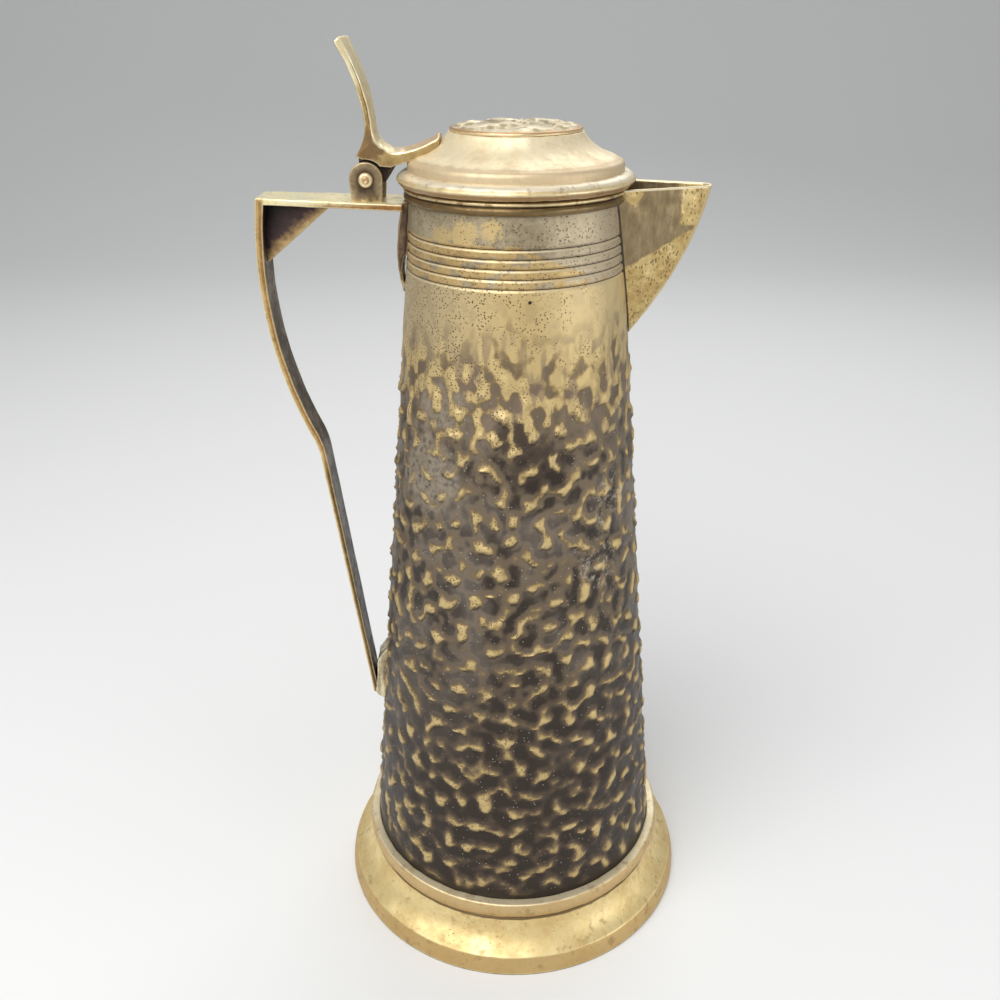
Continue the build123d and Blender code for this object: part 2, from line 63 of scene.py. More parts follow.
# Body
RIM_HEIGHT = 311.2
RIM_RADIUS = 37.5
FOOT_TOP = 29.5
SOCKET_HEIGHT = 27.5
BODY_FOOT_RADIUS = 63.3
BODY_WALL = 1.2
BODY_TAPER = (BODY_FOOT_RADIUS - RIM_RADIUS) / (RIM_HEIGHT - FOOT_TOP)
GROOVES = [295.7 - 3.23 * i for i in range(5)]
GROOVE_REACH = 0.8
GROOVE_DEPTH = 0.45
SPLIT_HEIGHT = GROOVES[-1]
BODY_COLUMNS = 360
RELIEF_HEIGHT = 1.05
ROLL_HEIGHT = 0.25

# Spout and the window behind it
WINDOW_FOOT = 270.0
WINDOW_MARGIN = 2.6
WINDOW_REST = radians(18)
WINDOW_FAR = radians(60)
WINDOW_EASE = 35.0
SPOUT_TOP = 311.1
SPOUT_DEPTH = 54.1
SPOUT_TIP = 69.6
SPOUT_BOW = 4.2
SPOUT_LEAN = radians(18.5)
SPOUT_NOSE = 5.0
SPOUT_NOSE_FOOT = 5.8
SPOUT_WALL = 1.2
SPOUT_BRIM = 0.5
SPOUT_TUCK = 0.7
SPOUT_LEAST = 0.3

# Handle
ARM_ROOT = 305.6
ARM_RISE = 1.8
ARM_LENGTH = 54.6
ARM_THICKNESS = 2.3
ARM_CORNER = ARM_ROOT + ARM_RISE
ARM_REACH = RIM_RADIUS + ARM_LENGTH
LEG_END = 92.6
LEG_STAND = 4.9
GUSSET_RUN = (-65.7, 304.2)
GUSSET_DROP = (-90.7, 283.6)
GUSSET_CORNER = (-90.2, 306.2)
GRIP_OUTER = ((-92.4, 303.4), (-93.78, 282.0), (-77.4, 212.0))
GRIP_INNER = ((-91.0, 278.0), (-75.1, 213.15))
CORNER_BEVEL = 0.8
TONGUE_TOP = 306.3
TONGUE_HEIGHT = 33.8
TONGUE_BOW = 1.9
TONGUE_HOLLOW = 0.9
WEDGE_CREST = 115.6
WEDGE_SHOULDER = 110.1
WEDGE_STAND = 3.9

# Hinge
PIN_X = -52.5
PIN_HEIGHT = 313.4
PIN_RADIUS = 1.3
LUG_RADIUS = 5.9
LUG_INNER = 4.4
LUG_OUTER = 7.0
KNUCKLE_HALF = 4.1
KNUCKLE_RADIUS = 5.6
EYE_PLAY = 0.05
PIN_END = 8.5

# Rows of the body's grid, from height to height with a count of rows
WALL_ROWS = ((SOCKET_HEIGHT, WINDOW_FOOT, 222), (WINDOW_FOOT, 281.6, 11), (281.6, SPLIT_HEIGHT, 6))
NECK_ROWS = ((SPLIT_HEIGHT, 297.5, 112), (297.5, RIM_HEIGHT, 14))
WINDOW_ROW = 221

# Sections of the turned pieces: a start, then runs of (radius, height, bow, count)
FOOT_LINE = ((77.0, 0), (75.1, 8.3, -0.5, 16), (66.2, 21.6, 2.1, 30), (65.4, 21.8, 0, 3), (65.5, 22.3, 0, 3),
             (66.8, 22.6, 0, 4), (66.8, 29.5, -0.9, 20), (63.3, 29.5, 0, 8), (63.48, 27.5, 0, 6),
             (59.88, 27.5, 0, 8), (59.88, 24.5, 0, 8), (63.8, 19.2, 0, 12), (72.0, 2.4, -2.1, 30),
             (72.0, 0, 0, 6), (77.0, 0, 0, 10))
CAP_LINE = ((38.3, 311.6), (38.3, 318.1, 0, 12), (36.6, 320.1, -0.5, 10), (34.5, 321.2, 0, 6),
            (23.6, 329.3, 1.4, 30), (19.6, 329.3, 0, 8), (19.6, 328.1, 0, 4), (23.0, 328.1, 0, 8),
            (33.8, 320.1, -1.3, 30), (36.0, 318.9, 0, 6), (37.1, 317.4, 0.3, 6), (37.1, 311.6, 0, 12),
            (38.3, 311.6, 0, 3))
RIM_LINE = ((38.0, 311.6), (40.9, 311.6, 0, 6), (41.75, 312.7, 0, 4), (41.75, 314.6, -0.55, 8),
            (38.3, 316.4, -0.5, 10), (38.0, 316.4, 0, 2), (38.0, 311.6, 0, 10))
FLANGE_LINE = ((34.6, 306.6), (35.7, 306.6, 0, 3), (35.7, 311.6, 0, 8), (37.1, 311.6, 0, 4),
               (37.1, 312.9, 0, 4), (34.6, 312.9, 0, 5), (34.6, 306.6, 0, 8))
BOTTOM_LINE = ((0, 29.5), (59.88, 27.5), (62.28, 27.5), (61.69, 34.0), (60.19, 34.0), (60.64, 29.0),
               (59.88, 29.0), (0, 31.0))
DISC_SEAT = 329.3
DISC_RADIUS = 23.4
DISC_EDGE = 330.5
DISC_CROWN = 1.9

# Outlines about the pin, in millimetres from it
LEVER_FRONT = ((-5.5, 45.9), (3.4, 18.6, 1.5, 30), (9.5, 9.8, -2.1, 34), (26.1, 15.2, -1.1, 30))
LEVER_BACK = ((-7.7, 44.2), (0.7, 18.6, 1.5, 30), (-3.1, 7.8, 0.9, 15))
LEVER_UNDER = ((9.0, 4.2, 0, 2), (26.1, 9.3, 0, 30))
LEVER_CLEAR = 6.8
LUG_OUTLINE = ((-5.9, 0.01), (-5.2, -8.9), (5.2, -8.9), (5.9, 0.01))
KNUCKLE_OUTLINE = ((-2.4, 0), (0, -1.4), (6.4, -1.4), (10.4, 4.5), (10.4, 7.7), (-2.4, 7.7))
COLLAR_LINE = ((PIN_RADIUS, 0), (2.6, 0), (2.6, 0.4), (2.48, 0.62), (2.1, 0.86), (1.7, 0.98),
               (PIN_RADIUS + 0.05, 1.0), (PIN_RADIUS, 0.95), (PIN_RADIUS, 0))
PIN_LINE = ((0, PIN_END - 0.25), (0.35, PIN_END - 0.22), (0.6, PIN_END - 0.06), (0.85, PIN_END),
            (1.1, PIN_END - 0.06), (PIN_RADIUS, PIN_END - 0.3))

# Stage
PAPER = (0.8, 0.8, 0.79, 1)
SKY = (0.86, 0.88, 0.9, 1)
SKY_STRENGTH = 0.42
LAMPS = (("key", (-0.5, -0.8, 1.1), (0, 0, 0.2), 1.3, 19),
         ("fill", (1.2, -0.6, 0.25), (0, 0, 0.2), 1.2, 7),
         ("back", (0.2, 0.8, 1.1), (0, 0, 0.25), 0.9, 5))


def display(red, green, blue):
    """Linear colour of a tone given as a screen shows it, from 0 to 255."""
    tone = np.array([red, green, blue]) / 255
    linear = np.where(tone <= 0.04045, tone / 12.92, ((tone + 0.055) / 1.055) ** 2.4)
    return (*[float(value) for value in linear], 1.0)


def body_radius(height):
    """Radius of the plain cone under the beaten relief."""
    return RIM_RADIUS + BODY_TAPER * (RIM_HEIGHT - height)


def smooth(low, high, value):
    """Rise from 0 at low to 1 at high, level at both ends."""
    share = np.clip((value - low) / (high - low), 0, 1)
    return share * share * (3 - 2 * share)


# Noise fields


def band_noise(rows, columns, row_step, column_step, size, seed, spread=0.35):
    """Wrapping field of unit spread whose waves are about one size long, in millimetres.

    White noise is weighed in its spectrum by a bell over the logarithm of the wavelength.
    """
    white = np.random.default_rng(seed).standard_normal((rows, columns))
    along = np.fft.fftfreq(rows, row_step)[:, None]
    across = np.fft.rfftfreq(columns, column_step)[None, :]
    wave = np.maximum(np.hypot(along, across), 1e-9)
    gain = np.exp(-0.5 * (np.log(wave * size) / spread) ** 2)
    field = np.fft.irfft2(np.fft.rfft2(white) * gain, s=(rows, columns))
    return field / field.std()


def sample(field, row, column):
    """Value of a wrapping field between its points, its four neighbours mixed by nearness."""
    low_row = np.floor(row).astype(int)
    low_column = np.floor(column).astype(int)
    up, over = row - low_row, column - low_column
    rows, columns = field.shape
    near = field[low_row % rows, low_column % columns] * (1 - over)
    near = near + field[low_row % rows, (low_column + 1) % columns] * over
    far = field[(low_row + 1) % rows, low_column % columns] * (1 - over)
    far = far + field[(low_row + 1) % rows, (low_column + 1) % columns] * over
    return near * (1 - up) + far * up


# Lines in a plane


def bow(start, end, rise=0.0, count=24):
    """Points from start to just before end on a parabola that stands off its chord's left by rise."""
    start, end = np.array(start, float), np.array(end, float)
    share = np.arange(count)[:, None] / count
    way = end - start
    left = np.array([-way[1], way[0]]) / np.hypot(*way)
    return start + way * share + 4 * rise * share * (1 - share) * left


def profile(start, *runs):
    """Line from a start through runs of (x, y, rise, count), each a bow that ends at x, y."""
    lines = []
    for x, y, rise, count in runs:
        lines.append(bow(start, (x, y), rise, count))
        start = (x, y)
    return np.vstack(lines)


def arc(first, middle, last, shares):
    """Points on the circle through three points, at shares of the way from the first to the last."""
    a, b, c = (complex(*point) for point in (first, middle, last))
    w = (c - a) / (b - a)
    centre = (b - a) * (w - abs(w) ** 2) / (2j * w.imag) + a
    turn_all = np.angle((c - centre) / (a - centre))
    turn_mid = np.angle((b - centre) / (a - centre))
    if turn_all * turn_mid < 0:
        turn_all -= np.sign(turn_all) * 2 * pi
    points = centre + (a - centre) * np.exp(1j * turn_all * np.asarray(shares))
    return np.column_stack([points.real, points.imag])


def even(line, step, closed=True):
    """A line of short runs, sampled again at even spacing near step."""
    line = np.asarray(line, float)
    if closed:
        line = np.vstack([line, line[:1]])
    run = np.r_[0, np.cumsum(np.hypot(*np.diff(line, axis=0).T))]
    count = int(round(run[-1] / step))
    at = np.linspace(0, run[-1], count + 1)
    if closed:
        at = at[:-1]
    return np.column_stack([np.interp(at, run, line[:, i]) for i in range(2)])


def eased(line, reach=EASE_REACH):
    """A closed even line with its corners rounded by a Gaussian average along its length."""
    step = np.hypot(*(line[1] - line[0]))
    wave = np.fft.fftfreq(len(line), step)
    gain = np.exp(-2 * (pi * wave * reach) ** 2)
    return np.fft.ifft(np.fft.fft(line, axis=0) * gain[:, None], axis=0).real


def turning(line):
    """Turning per millimetre at each point of a closed line, positive where it bulges."""
    ahead = np.roll(line, -1, axis=0) - line
    behind = line - np.roll(line, 1, axis=0)
    cross = behind[:, 0] * ahead[:, 1] - behind[:, 1] * ahead[:, 0]
    dot = (behind * ahead).sum(axis=1)
    return np.arctan2(cross, dot) / np.maximum(np.hypot(*ahead.T), 1e-6)


def spread_along(values, count):
    """Values along a closed line averaged with a few neighbours on either side."""
    total = sum(np.roll(values, shift) for shift in range(-count, count + 1))
    return total / (2 * count + 1)


# Meshes


def sheet(points, keep=None, **marks):
    """A grid of points with the faces to keep and the values that its points carry."""
    return {"points": points, "keep": keep, "marks": marks}


def grid_quads(rows, columns):
    """Corner numbers of a grid's faces: a step along the columns, then one along the rows."""
    row, column = np.meshgrid(np.arange(rows - 1), np.arange(columns - 1), indexing="ij")
    first = row * columns + column
    return np.stack([first, first + 1, first + columns + 1, first + columns], axis=-1)


def make_mesh(name, sheets):
    """One closed mesh from grids of points.

    Points that coincide become one, a face whose corners fall together loses a corner or drops out,
    and all faces turn over where the volume that they enclose comes out negative.
    """
    names = sorted({key for part in sheets for key in part["marks"]})
    points, quads, start = [], [], 0
    marks = {key: [] for key in names}
    for part in sheets:
        rows, columns = part["points"].shape[:2]
        faces = grid_quads(rows, columns)
        faces = faces.reshape(-1, 4) if part["keep"] is None else faces[part["keep"]]
        quads.append(faces + start)
        points.append(part["points"].reshape(-1, 3))
        for key in names:
            marks[key].append(np.broadcast_to(part["marks"].get(key, 0.0), (rows, columns)).ravel())
        start += rows * columns
    points, quads = np.concatenate(points), np.concatenate(quads)
    key = np.round(points / WELD).astype(np.int64)
    _, first, same_as = np.unique(key, axis=0, return_index=True, return_inverse=True)
    points, corners = points[first], same_as.reshape(-1)[quads]
    a, b, c, d = (points[corners[:, i]] for i in range(4))
    if ((a * np.cross(b, c)).sum() + (a * np.cross(c, d)).sum()) < 0:
        corners = corners[:, ::-1]
    stays = corners != np.roll(corners, -1, axis=1)
    size = stays.sum(axis=1)
    sound = (size > 2) & (corners[:, 0] != corners[:, 2]) & (corners[:, 1] != corners[:, 3])
    loops = corners[sound][stays[sound]]
    used, loops = np.unique(loops, return_inverse=True)
    size = size[sound]
    mesh = bpy.data.meshes.new(name)
    mesh.vertices.add(len(used))
    mesh.vertices.foreach_set("co", (points[used] * MM).astype(np.float32).ravel())
    mesh.loops.add(len(loops))
    mesh.loops.foreach_set("vertex_index", loops.reshape(-1).astype(np.int32))
    mesh.polygons.add(len(size))
    mesh.polygons.foreach_set("loop_start", np.r_[0, np.cumsum(size)[:-1]].astype(np.int32))
    mesh.update(calc_edges=True)
    mesh.validate()
    mesh.polygons.foreach_set("use_smooth", np.ones(len(mesh.polygons), dtype=bool))
    mesh.set_sharp_from_angle(angle=radians(SHARP_ANGLE))
    for mark in names:
        values = np.concatenate(marks[mark])[first][used].astype(np.float32)
        mesh.attributes.new(mark, "FLOAT", "POINT").data.foreach_set("value", values)
    return mesh


def make_piece(name, node, body, slot, finish, *sheets):
    """Piece made of grids, which rides on a body and stands for a node."""
    piece = bpy.data.objects.new(name, make_mesh(name, sheets))
    piece.data.materials.append(finish)
    bpy.context.scene.collection.objects.link(piece)
    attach(piece, body)
    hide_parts(node)


def round_axis(radius, angle, height):
    """Points at a radius and an angle round the jug's axis and at a height."""
    return np.stack([radius * np.cos(angle), radius * np.sin(angle), height + 0 * angle], axis=-1)


def turned(line, columns=LATHE_COLUMNS, dent=0.0, dent_size=9.0, seed=1, calm=None):
    """A closed (radius, height) line turned round the jug's axis: x = r cos a and y = r sin a.

    The line is first pushed in and out along its own normal by soft dents, which fade out between
    two heights where calm gives them. Its mark of wear and painted light is the line's turning: 1 on a
    sharp arris, which the finishes make lighter as rubbed wear and painted highlight, and -1 in a sharp
    corner, which they paint dark as shade.
    """
    bend = turning(line)
    wear = np.clip(spread_along(bend, 2) * 0.55, -1, 1)
    ahead = np.roll(line, -1, axis=0) - np.roll(line, 1, axis=0)
    normal = np.column_stack([ahead[:, 1], -ahead[:, 0]]) / np.hypot(*ahead.T)[:, None]
    step = np.hypot(*(line[1] - line[0]))
    reach = max(abs(line[:, 0]).max(), 1.0)
    push = dent * band_noise(len(line), columns, step, 2 * pi * reach / columns, dent_size, seed)
    push = np.hstack([push, push[:, :1]])
    if calm:
        push = push * smooth(*calm, line[:, 1:])
    radius = line[:, :1] + normal[:, :1] * push
    height = line[:, 1:] + normal[:, 1:] * push
    radius, height = np.vstack([radius, radius[:1]]), np.vstack([height, height[:1]])
    angle = np.linspace(-pi, pi, columns + 1)
    return sheet(round_axis(radius, angle, height), wear=np.r_[wear, wear[:1]][:, None])


def turned_solid(line, columns=LATHE_COLUMNS, step=LATHE_STEP, reach=EASE_REACH):
    """An open (radius, height) line from axis to axis, turned round the jug's axis.

    The line is closed by its own mirror image, so that its corners can be rounded and it still meets
    the axis square.
    """
    half = even(line, step, closed=False)
    full = eased(np.vstack([half, half[-2:0:-1] * (-1, 1)]), reach)
    wear = np.clip(spread_along(turning(full), 2) * 0.55, -1, 1)[:len(half)]
    half = full[:len(half)]
    half[0, 0] = half[-1, 0] = 0.0
    angle = np.linspace(-pi, pi, columns + 1)
    return sheet(round_axis(half[:, :1], angle, half[:, 1:]), wear=wear[:, None])


def section_loop(half_width, depth, corner, shrink, flat, turns=4):
    """Rounded rectangle at each station, as (across, deep) with deep running from 0 to depth.

    Each of its points keeps its place by four shares: how far along the flats, and how far round the
    corners.
    """
    turn = np.linspace(0, pi / 2, turns + 1)
    inner = np.linspace(1, -1, flat + 2)[1:-1]
    side = np.r_[np.ones(2 * turns + 2), inner, -np.ones(2 * turns + 2), -inner]
    side_turn = np.r_[np.sin(turn), np.cos(turn), 0 * inner, -np.sin(turn), -np.cos(turn), 0 * inner]
    deep = np.r_[np.zeros(turns + 1), np.ones(turns + 1 + flat + turns + 1), np.zeros(turns + 1 + flat)]
    deep_turn = np.r_[-np.cos(turn), np.sin(turn), np.ones(flat), np.cos(turn), -np.sin(turn),
                      -np.ones(flat)]
    half_width = (half_width - shrink)[:, None]
    depth = (depth - 2 * shrink)[:, None]
    corner = np.minimum(np.maximum(corner - shrink, 0.02)[:, None], 0.48 * np.minimum(depth, half_width))
    across = side * (half_width - corner) + side_turn * corner
    down = deep * (depth - 2 * corner) + corner + deep_turn * corner + shrink[:, None]
    return across, down, deep


def ribbon(front, back, half_width, corner=0.4, crown=None, flat=9, dent=0.0, dent_size=6.0, seed=1):
    """Bar between a front and a back line in the jug's plane of symmetry, wide along Y.

    Its section at each station is a rounded rectangle whose depth runs from the front point to the
    back point. A crown lowers the front face by the square of the distance from its middle. Both ends
    are rounded over and closed on their middle. The mark named wear is 1 on the sides and near them,
    face runs from 0 on the front to 1 on the back, and deep and rest are the millimetres to each.
    """
    count = len(front)
    crown = np.zeros(count) if crown is None else crown
    pace = np.r_[0, np.cumsum(np.maximum(np.hypot(*np.diff((front + back) / 2, axis=0).T), 1e-4))]
    step_in = corner * (1 - np.cos(np.linspace(0, pi / 2, 4)))
    step_out = corner * (1 - np.sin(np.linspace(0, pi / 2, 4)))
    inner = pace[(pace > corner * 1.05) & (pace < pace[-1] - corner * 1.05)]
    at = np.r_[step_in, inner, pace[-1] - step_in[::-1]]
    shrink = np.r_[step_out, 0 * inner, step_out[::-1]]

    def along(values):
        """Values at the stations, read between the given ones."""
        return np.interp(at, pace, values)

    front = np.column_stack([along(front[:, 0]), along(front[:, 1])])
    back = np.column_stack([along(back[:, 0]), along(back[:, 1])])
    half_width, crown = along(half_width), along(crown)
    depth = np.hypot(*(back - front).T)
    shrink = np.minimum(shrink, 0.45 * np.minimum(depth, half_width))
    across, down, deep = section_loop(half_width, depth, corner, shrink, flat)
    face = down / np.maximum(depth, 1e-6)[:, None]
    down = down + crown[:, None] * (across / half_width[:, None]) ** 2 * (1 - deep)
    if dent:
        field = band_noise(len(at), across.shape[1], pace[-1] / len(at), 0.8, dent_size, seed)
        down = down + dent * field * (1 - 2 * deep)
    way = (back - front) / np.maximum(depth, 1e-6)[:, None]
    x = front[:, :1] + way[:, :1] * down
    z = front[:, 1:] + way[:, 1:] * down
    points = np.stack([x, across + 0 * x, z], axis=-1)
    points = np.concatenate([points, points[:, :1]], axis=1)
    edge = smooth(0.72, 1.0, abs(across) / half_width[:, None])
    deep, rest = face * depth[:, None], (1 - face) * depth[:, None]
    marks = {"wear": edge, "face": face, "deep": deep, "rest": rest}
    marks = {key: np.hstack([values, values[:, :1]]) for key, values in marks.items()}
    caps = [np.repeat(points[i].mean(axis=0)[None, None], points.shape[1], axis=1) for i in (0, -1)]
    points = np.concatenate([caps[0], points, caps[1]])
    marks = {key: np.vstack([values[:1], values, values[-1:]]) for key, values in marks.items()}
    return sheet(points, **marks)


# Finishes. Colours are red, green and blue as a screen shows them, from 0 to 255.


CREAM = (236, 226, 186)
# Near black, used both for dark dirt and for painted shade.
SOOT_AND_SHADE = (46, 36, 28)
CHALK = (214, 208, 194)
VERDIGRIS = (104, 130, 112)
TONE_STOPS = (0.36, 0.5, 0.64)


class Wire:
    """Value in a finish's nodes. Sums and products of wires and numbers add the nodes they need."""

    def __init__(self, finish, socket):
        self.finish = finish
        self.socket = socket

    def __add__(self, other):
        return self.finish.math("ADD", self, other)

    def __sub__(self, other):
        return self.finish.math("SUBTRACT", self, other)

    def __rsub__(self, other):
        return self.finish.math("SUBTRACT", other, self)

    def __mul__(self, other):
        return self.finish.math("MULTIPLY", self, other)

    def __truediv__(self, other):
        return self.finish.math("DIVIDE", self, other)

    def __abs__(self):
        return self.finish.math("ABSOLUTE", self)

    def rise(self, low, high):
        """0 below low and 1 above high, or the other way round where low is the greater."""
        return self.finish.node("ShaderNodeMapRange", "Result",
                                {"Value": self, "From Min": low, "From Max": high},
                                interpolation_type="SMOOTHSTEP")


class Finish:
    """A worn brass finish built from nodes. Sizes are in millimetres on the object."""

    def __init__(self, name):
        self.material = bpy.data.materials.new(name)
        self.material.use_nodes = True
        self.tree = self.material.node_tree
        self.place = self.node("ShaderNodeTexCoord", "Object")
        self.colour = None
        self.seed = 0.0

    def feed(self, socket, value):
        """Link a wire, or set a plain value. A tuple is a colour."""
        if isinstance(value, Wire):
            self.tree.links.new(value.socket, socket)
        else:
            socket.default_value = display(*value) if isinstance(value, tuple) else value

    def node(self, kind, output, inputs=(), **settings):
        """Output of a new node with its settings and with its inputs fed."""
        node = self.tree.nodes.new(kind)
        for key, value in settings.items():
            setattr(node, key, value)
        for key, value in dict(inputs).items():
            self.feed(node.inputs[key], value)
        return Wire(self, node.outputs[output])

    def math(self, operation, first, second=0.0):
        """One sum on two values."""
        return self.node("ShaderNodeMath", 0, {0: first, 1: second}, operation=operation)

    def most(self, first, *others):
        """The greatest of several values."""
        for other in others:
            first = self.math("MAXIMUM", first, other)
        return first

    def mark(self, name):
        """Value that the piece's own points carry."""
        return self.node("ShaderNodeAttribute", "Fac", attribute_name=name)

    def axis(self, which):
        """Object coordinate in millimetres."""
        return self.node("ShaderNodeSeparateXYZ", which, {0: self.place}) * (1 / MM)

    def radius(self):
        """Distance from the jug's axis in millimetres."""
        flat = self.node("ShaderNodeVectorMath", "Vector", {0: self.place, 1: [1 / MM, 1 / MM, 0]},
                         operation="MULTIPLY")
        return self.node("ShaderNodeVectorMath", "Value", {0: flat}, operation="LENGTH")

    def placed(self, size, stretch=(1, 1, 1), source=None, unit=MM):
        """Object coordinates scaled so that one pattern unit is a size, and moved by a new seed."""
        self.seed += 7.31
        return self.node("ShaderNodeMapping", "Vector",
                         {"Scale": [1 / (size * unit * reach) for reach in stretch],
                          "Location": [self.seed, -1.7 * self.seed, 0.6 * self.seed],
                          "Vector": self.place if source is None else source})

    def noise(self, size, detail=4.0, rough=0.55, stretch=(1, 1, 1), source=None, unit=MM):
        """Cloudy pattern from 0 to 1."""
        return self.node("ShaderNodeTexNoise", "Fac",
                         {"Scale": 1.0, "Detail": detail, "Roughness": rough,
                          "Vector": self.placed(size, stretch, source, unit)})

    def wander(self, reach, *pattern):
        """Noise about 0, spread by a reach."""
        return (self.noise(*pattern) - 0.5) * reach

    def cells(self, size, stretch=(1, 1, 1)):
        """Distance from scattered points, in units of their spacing."""
        return self.node("ShaderNodeTexVoronoi", "Distance",
                         {"Scale": 1.0, "Vector": self.placed(size, stretch)})

    def spun(self, size):
        """Fine rings left by turning: a pattern of the radius and the height alone."""
        rings = self.node("ShaderNodeCombineXYZ", 0, {0: self.radius(), 1: self.axis("Z")})
        return self.noise(size, 3.0, 0.5, source=rings, unit=1.0)

    def ramp(self, value, shades, stops=TONE_STOPS):
        """Colour that follows a value through shades at stops."""
        node = self.tree.nodes.new("ShaderNodeValToRGB")
        elements = node.color_ramp.elements
        while len(elements) < len(stops):
            elements.new(0.5)
        for element, at, shade in zip(elements, stops, shades):
            element.position = at
            element.color = display(*shade)
        self.feed(node.inputs[0], value)
        return Wire(self, node.outputs["Color"])

    def mix(self, share, under, over):
        """Colour over another by a share."""
        return self.node("ShaderNodeMix", 2, {0: share, 6: under, 7: over}, data_type="RGBA")

    def lay(self, share, over):
        """Lay a colour over the finish's own by a share."""
        self.colour = self.mix(share, self.colour, over)

    def blend(self, share, under, over):
        """Number between two others by a share."""
        return self.node("ShaderNodeMix", 0, {0: share, 2: under, 3: over}, data_type="FLOAT")

    def patch(self, x, y, z, reach, ragged=0.6, size=3.0):
        """Ragged stain: 1 at a place in millimetres, fading to 0 at its reach."""
        gap = self.node("ShaderNodeVectorMath", "Value", {0: self.place, 1: [x * MM, y * MM, z * MM]},
                        operation="DISTANCE")
        return (gap / (reach * MM) + self.wander(2 * ragged, size)).rise(1.0, 0.55)

    def patches(self, *places):
        """Several stains in one."""
        return self.most(*[self.patch(*place) for place in places])

    def done(self, rough, metal, *bumps):
        """The finished material, with bumps of (height, strength, depth in millimetres) in turn."""
        normal = {}
        for height, strength, depth in bumps:
            inputs = {"Strength": strength, "Distance": depth * MM, "Height": height, **normal}
            normal = {"Normal": self.node("ShaderNodeBump", "Normal", inputs)}
        shader = self.tree.nodes["Principled BSDF"]
        inputs = {"Base Color": self.colour, "Roughness": rough, "Metallic": metal, **normal}
        for key, value in inputs.items():
            self.feed(shader.inputs[key], value)
        return self.material


class Forged(Finish):
    """Finish of a forged or cast piece: a cloudy tone, a grain and a fine noise from the start."""

    def __init__(self, name, size=9.0):
        super().__init__(name)
        self.grain = self.noise(1.9, 5, 0.62)
        self.fine = self.noise(0.6, 4, 0.6)
        self.tone = self.noise(size, 4, 0.6) * 0.6 + self.grain * 0.4

    def tones(self, *shades):
        """Three shades over the cloudy tone."""
        return self.ramp(self.tone, shades)

    def worn(self, edge, metal=0.7, rough=(0.3, 0.48), pitted=0.6, lit=0.7):
        """The finished material, with rubbed arrises and pits laid over its colour."""
        edge_near = self.math("MINIMUM", self.mark("deep"), self.mark("rest")).rise(0.8, 0.3)
        rubbed = self.mark("wear") * edge_near + (self.grain - 0.5) * 0.8
        self.lay(rubbed.rise(0.5, 0.95) * lit, edge)
        pits = self.cells(1.9).rise(0.22, 0.1) * self.fine.rise(0.44, 0.56)
        self.lay(pits * pitted, (78, 54, 32))
        return self.done(self.blend(self.tone.rise(0.4, 0.6), rough[1], rough[0]), metal,
                         (1 - pits, 0.6, 0.2 * pitted), (self.grain, 0.3, 0.22), (self.fine, 0.25, 0.08))


